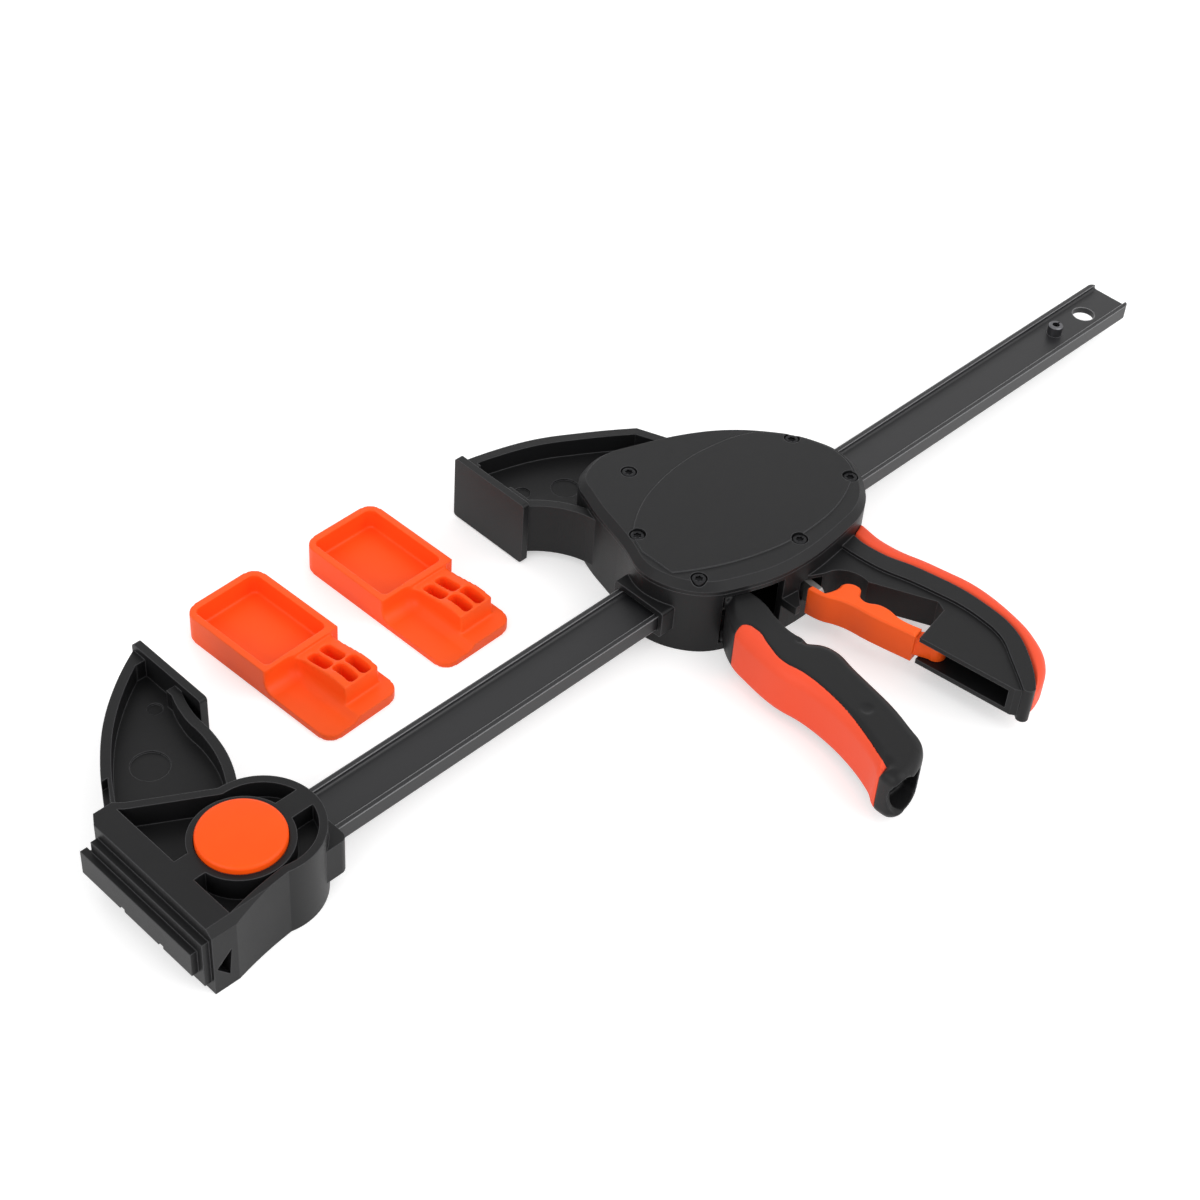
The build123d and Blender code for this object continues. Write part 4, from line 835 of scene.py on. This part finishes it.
class CLAMP_OT_grips(bpy.types.Operator):
    """Makes the trigger and the soft grips of trigger and handle, with their rounded edges"""

    bl_idname = "clamp.grips"
    bl_label = "Trigger and grips"

    def execute(self, context):
        sizes = context.scene.clamp_sizes
        front = outer_walls(
            ("trigger_grip", grip_front), ("trigger", trigger_front), ("trigger", trigger_end))
        back = outer_walls(("trigger", trigger_back))
        palm = outer_walls(("handle_grip", palm_side))
        self.make(
            "trigger", "trigger", "trigger_plastic", TRIGGER_VOXEL, sizes.trigger_height,
            TRIGGER_FREE_Y, ((front, sizes.front_round), (back, sizes.back_round)),
            TRIGGER_HOLLOWS)
        self.make(
            "trigger_grip", "trigger", "soft_grip", TRIGGER_GRIP_VOXEL, sizes.trigger_height,
            TRIGGER_FREE_Y, ((front, sizes.front_round),))
        self.make(
            "handle_grip", "sliding_jaw", "soft_grip", HANDLE_GRIP_VOXEL, sizes.grip_height,
            HANDLE_FREE_Y, ((palm, sizes.palm_round),))
        return {"FINISHED"}

    def make(self, node, body, slot, voxel, height, free_y, edges, hollows=()):
        """One piece of the given height, with its rounded edges and its hollows."""
        name = node + "_piece"
        cutters = [soft_egg(centre, radii) for centre, radii in hollows]
        piece = even_skin(name, node, Matrix.Translation(HOME), voxel, GRIP_EASING, cutters)
        for walls, radius in edges:
            round_over(piece.data, walls, radius, height, free_y)
        shade(piece.data, 50.0)
        finished(piece, name, body, slot, node)


class CLAMP_OT_pads(bpy.types.Operator):
    """Makes the two loose jaw pads, with soft rims, wide slots and the finger scoop"""

    bl_idname = "clamp.pads"
    bl_label = "Jaw pads"

    def execute(self, context):
        for node, x, y, turn in PAD_PLACES:
            home = Matrix.Translation(at(x, y, 0)) @ Matrix.Rotation(radians(turn), 4, "Z")
            cutters = [soft_block(SCOOP_LOW, SCOOP_HIGH, SCOOP_ROUND)]
            for slot_x, slot_y in SLOT_MIDDLES:
                low = (slot_x - SLOT_HALF_X, slot_y - SLOT_HALF_Y, SLOT_FLOOR)
                high = (slot_x + SLOT_HALF_X, slot_y + SLOT_HALF_Y, CUT_TOP)
                cutters.append(soft_block(low, high, SLOT_ROUND))
            name = node + "_piece"
            pad = even_skin(name, node, home, PAD_VOXEL, PAD_EASING, cutters)
            shade(pad.data, 60.0)
            finished(pad, name, node.replace("jaw_", ""), "pad_rubber", node)
        return {"FINISHED"}


class CLAMP_OT_button(bpy.types.Operator):
    """Makes the push button, a slightly crowned cap with a rounded rim"""

    bl_idname = "clamp.button"
    bl_label = "Push button"

    def execute(self, context):
        rim = [
            (BUTTON_RADIUS - BUTTON_RIM_ROUND * (1 - cos(radians(angle))),
             BUTTON_RIM_TOP - BUTTON_RIM_ROUND * (1 - sin(radians(angle))))
            for angle in range(0, 91, 15)
        ]
        profile = BUTTON_UNDERSIDE + rim + BUTTON_CROWN
        cap = turned("push_button_cap", profile, around=96, crease=40.0)
        low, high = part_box("push_button")
        middle = (low + high) / 2
        cap.data.transform(Matrix.Translation((middle.x, middle.y, HOME.z)))
        finished(cap, "push_button_cap", "button", "button_plastic", "push_button")
        return {"FINISHED"}


class CLAMP_OT_stage(bpy.types.Operator):
    """Sets the floor, the lamps, the white surroundings and the camera"""

    bl_idname = "clamp.stage"
    bl_label = "Studio"

    def execute(self, context):
        scene = context.scene
        settings = scene.clamp_stage
        scene.view_settings.view_transform = "Standard"
        self.floor(settings.floor_size / 2)
        self.surroundings(scene, settings.sky)
        for name, power, offset, sides in LAMPS:
            self.lamp(name, Vector(offset), sides, getattr(settings, power))
        scene.camera = self.camera()
        return {"FINISHED"}

    def floor(self, half):
        """A pale matt floor, lifted to white where it is seen; half is half of its side."""
        corners = [(-half, -half, 0), (half, -half, 0), (half, half, 0), (-half, half, 0)]
        mesh = bpy.data.meshes.new("floor")
        mesh.from_pydata(corners, [], [(0, 1, 2, 3)])
        paint = Finish("Pale floor")
        matt = paint.node("ShaderNodeBsdfPrincipled", None, {
            "Base Color": paint.blend(paint.noise(3.0), *FLOOR_TINTS), "Roughness": 0.9,
            "Specular IOR Level": 0.0})["BSDF"]
        lift = paint.node("ShaderNodeEmission", None, {
            "Color": WHITE, "Strength": paint.seen() * FLOOR_LIFT})["Emission"]
        both = paint.node("ShaderNodeAddShader", None, {0: matt, 1: lift})["Shader"]
        paint.node("ShaderNodeOutputMaterial", None, {"Surface": both})
        mesh.materials.append(paint.material)
        placed("floor", mesh)

    def surroundings(self, scene, strength):
        """White for the camera and for reflections, and an even light of this strength."""
        scene.world = bpy.data.worlds.new("Surroundings")
        scene.world.use_nodes = True
        sky = Nodes(scene.world.node_tree)
        power = strength + sky.seen() * (1.0 - strength)
        light = sky.node("ShaderNodeBackground", None, {"Color": WHITE, "Strength": power})
        sky.node("ShaderNodeOutputWorld", None, {"Surface": light["Background"]})

    def lamp(self, name, offset, sides, power):
        """A rectangular lamp that faces the middle of the clamp from this offset."""
        data = bpy.data.lights.new(name, "AREA")
        data.shape = "RECTANGLE"
        data.size, data.size_y = sides
        data.energy = power
        lamp = placed(name, data)
        lamp.location = (CAD_BOUNDS[0] + CAD_BOUNDS[1]) / 2 + offset
        lamp.rotation_euler = (-offset).to_track_quat("-Z", "Y").to_euler()

    def camera(self):
        """The camera, looking down at its aim and rolled a little about its own axis."""
        level_share = cos(CAMERA_ELEVATION)
        ahead = Vector((
            cos(CAMERA_AZIMUTH) * level_share, sin(CAMERA_AZIMUTH) * level_share,
            -sin(CAMERA_ELEVATION)))
        level = ahead.cross(Vector((0, 0, 1))).normalized()
        above = level.cross(ahead)
        right = level * cos(CAMERA_ROLL) + above * sin(CAMERA_ROLL)
        up = above * cos(CAMERA_ROLL) - level * sin(CAMERA_ROLL)
        turn = Matrix((right, up, -ahead)).transposed().to_4x4()
        data = bpy.data.cameras.new("camera")
        data.sensor_width = SENSOR_WIDTH
        data.lens = SENSOR_WIDTH * FOCAL_PIXELS / FRAME_PIXELS
        data.clip_start, data.clip_end = NEAREST, FARTHEST
        camera = placed("camera", data)
        place = at(*CAMERA_AIM) - ahead * CAMERA_DISTANCE
        camera.matrix_world = Matrix.Translation(place) @ turn
        return camera


class CLAMP_PT_panel(bpy.types.Panel):
    """Lists the clamp's settings and the operators that make it"""

    bl_label = "Bar clamp"
    bl_space_type = "VIEW_3D"
    bl_region_type = "UI"
    bl_category = "Bar clamp"

    def draw(self, context):
        for setting in GROUPS:
            group = getattr(context.scene, setting)
            box = self.layout.box()
            for name in group.__annotations__:
                box.prop(group, name)
        for operator in OPERATORS:
            self.layout.operator(operator.bl_idname)


GROUPS = {
    "clamp_colours": ClampColours, "clamp_sizes": ClampSizes, "clamp_stage": StageSettings}
OPERATORS = (
    CLAMP_OT_finishes, CLAMP_OT_screws, CLAMP_OT_springs, CLAMP_OT_grips, CLAMP_OT_pads,
    CLAMP_OT_button, CLAMP_OT_stage)


def register():
    for setting, group in GROUPS.items():
        bpy.utils.register_class(group)
        setattr(bpy.types.Scene, setting, bpy.props.PointerProperty(type=group))
    for piece in (*OPERATORS, CLAMP_PT_panel):
        bpy.utils.register_class(piece)


def unregister():
    for piece in (CLAMP_PT_panel, *reversed(OPERATORS)):
        bpy.utils.unregister_class(piece)
    for setting, group in reversed(GROUPS.items()):
        delattr(bpy.types.Scene, setting)
        bpy.utils.unregister_class(group)


def main():
    register()
    bpy.ops.clamp.finishes()
    bpy.ops.clamp.screws()
    bpy.ops.clamp.springs()
    bpy.ops.clamp.grips()
    bpy.ops.clamp.pads()
    bpy.ops.clamp.button()
    bpy.ops.clamp.stage()


if __name__ == "__main__":
    main()
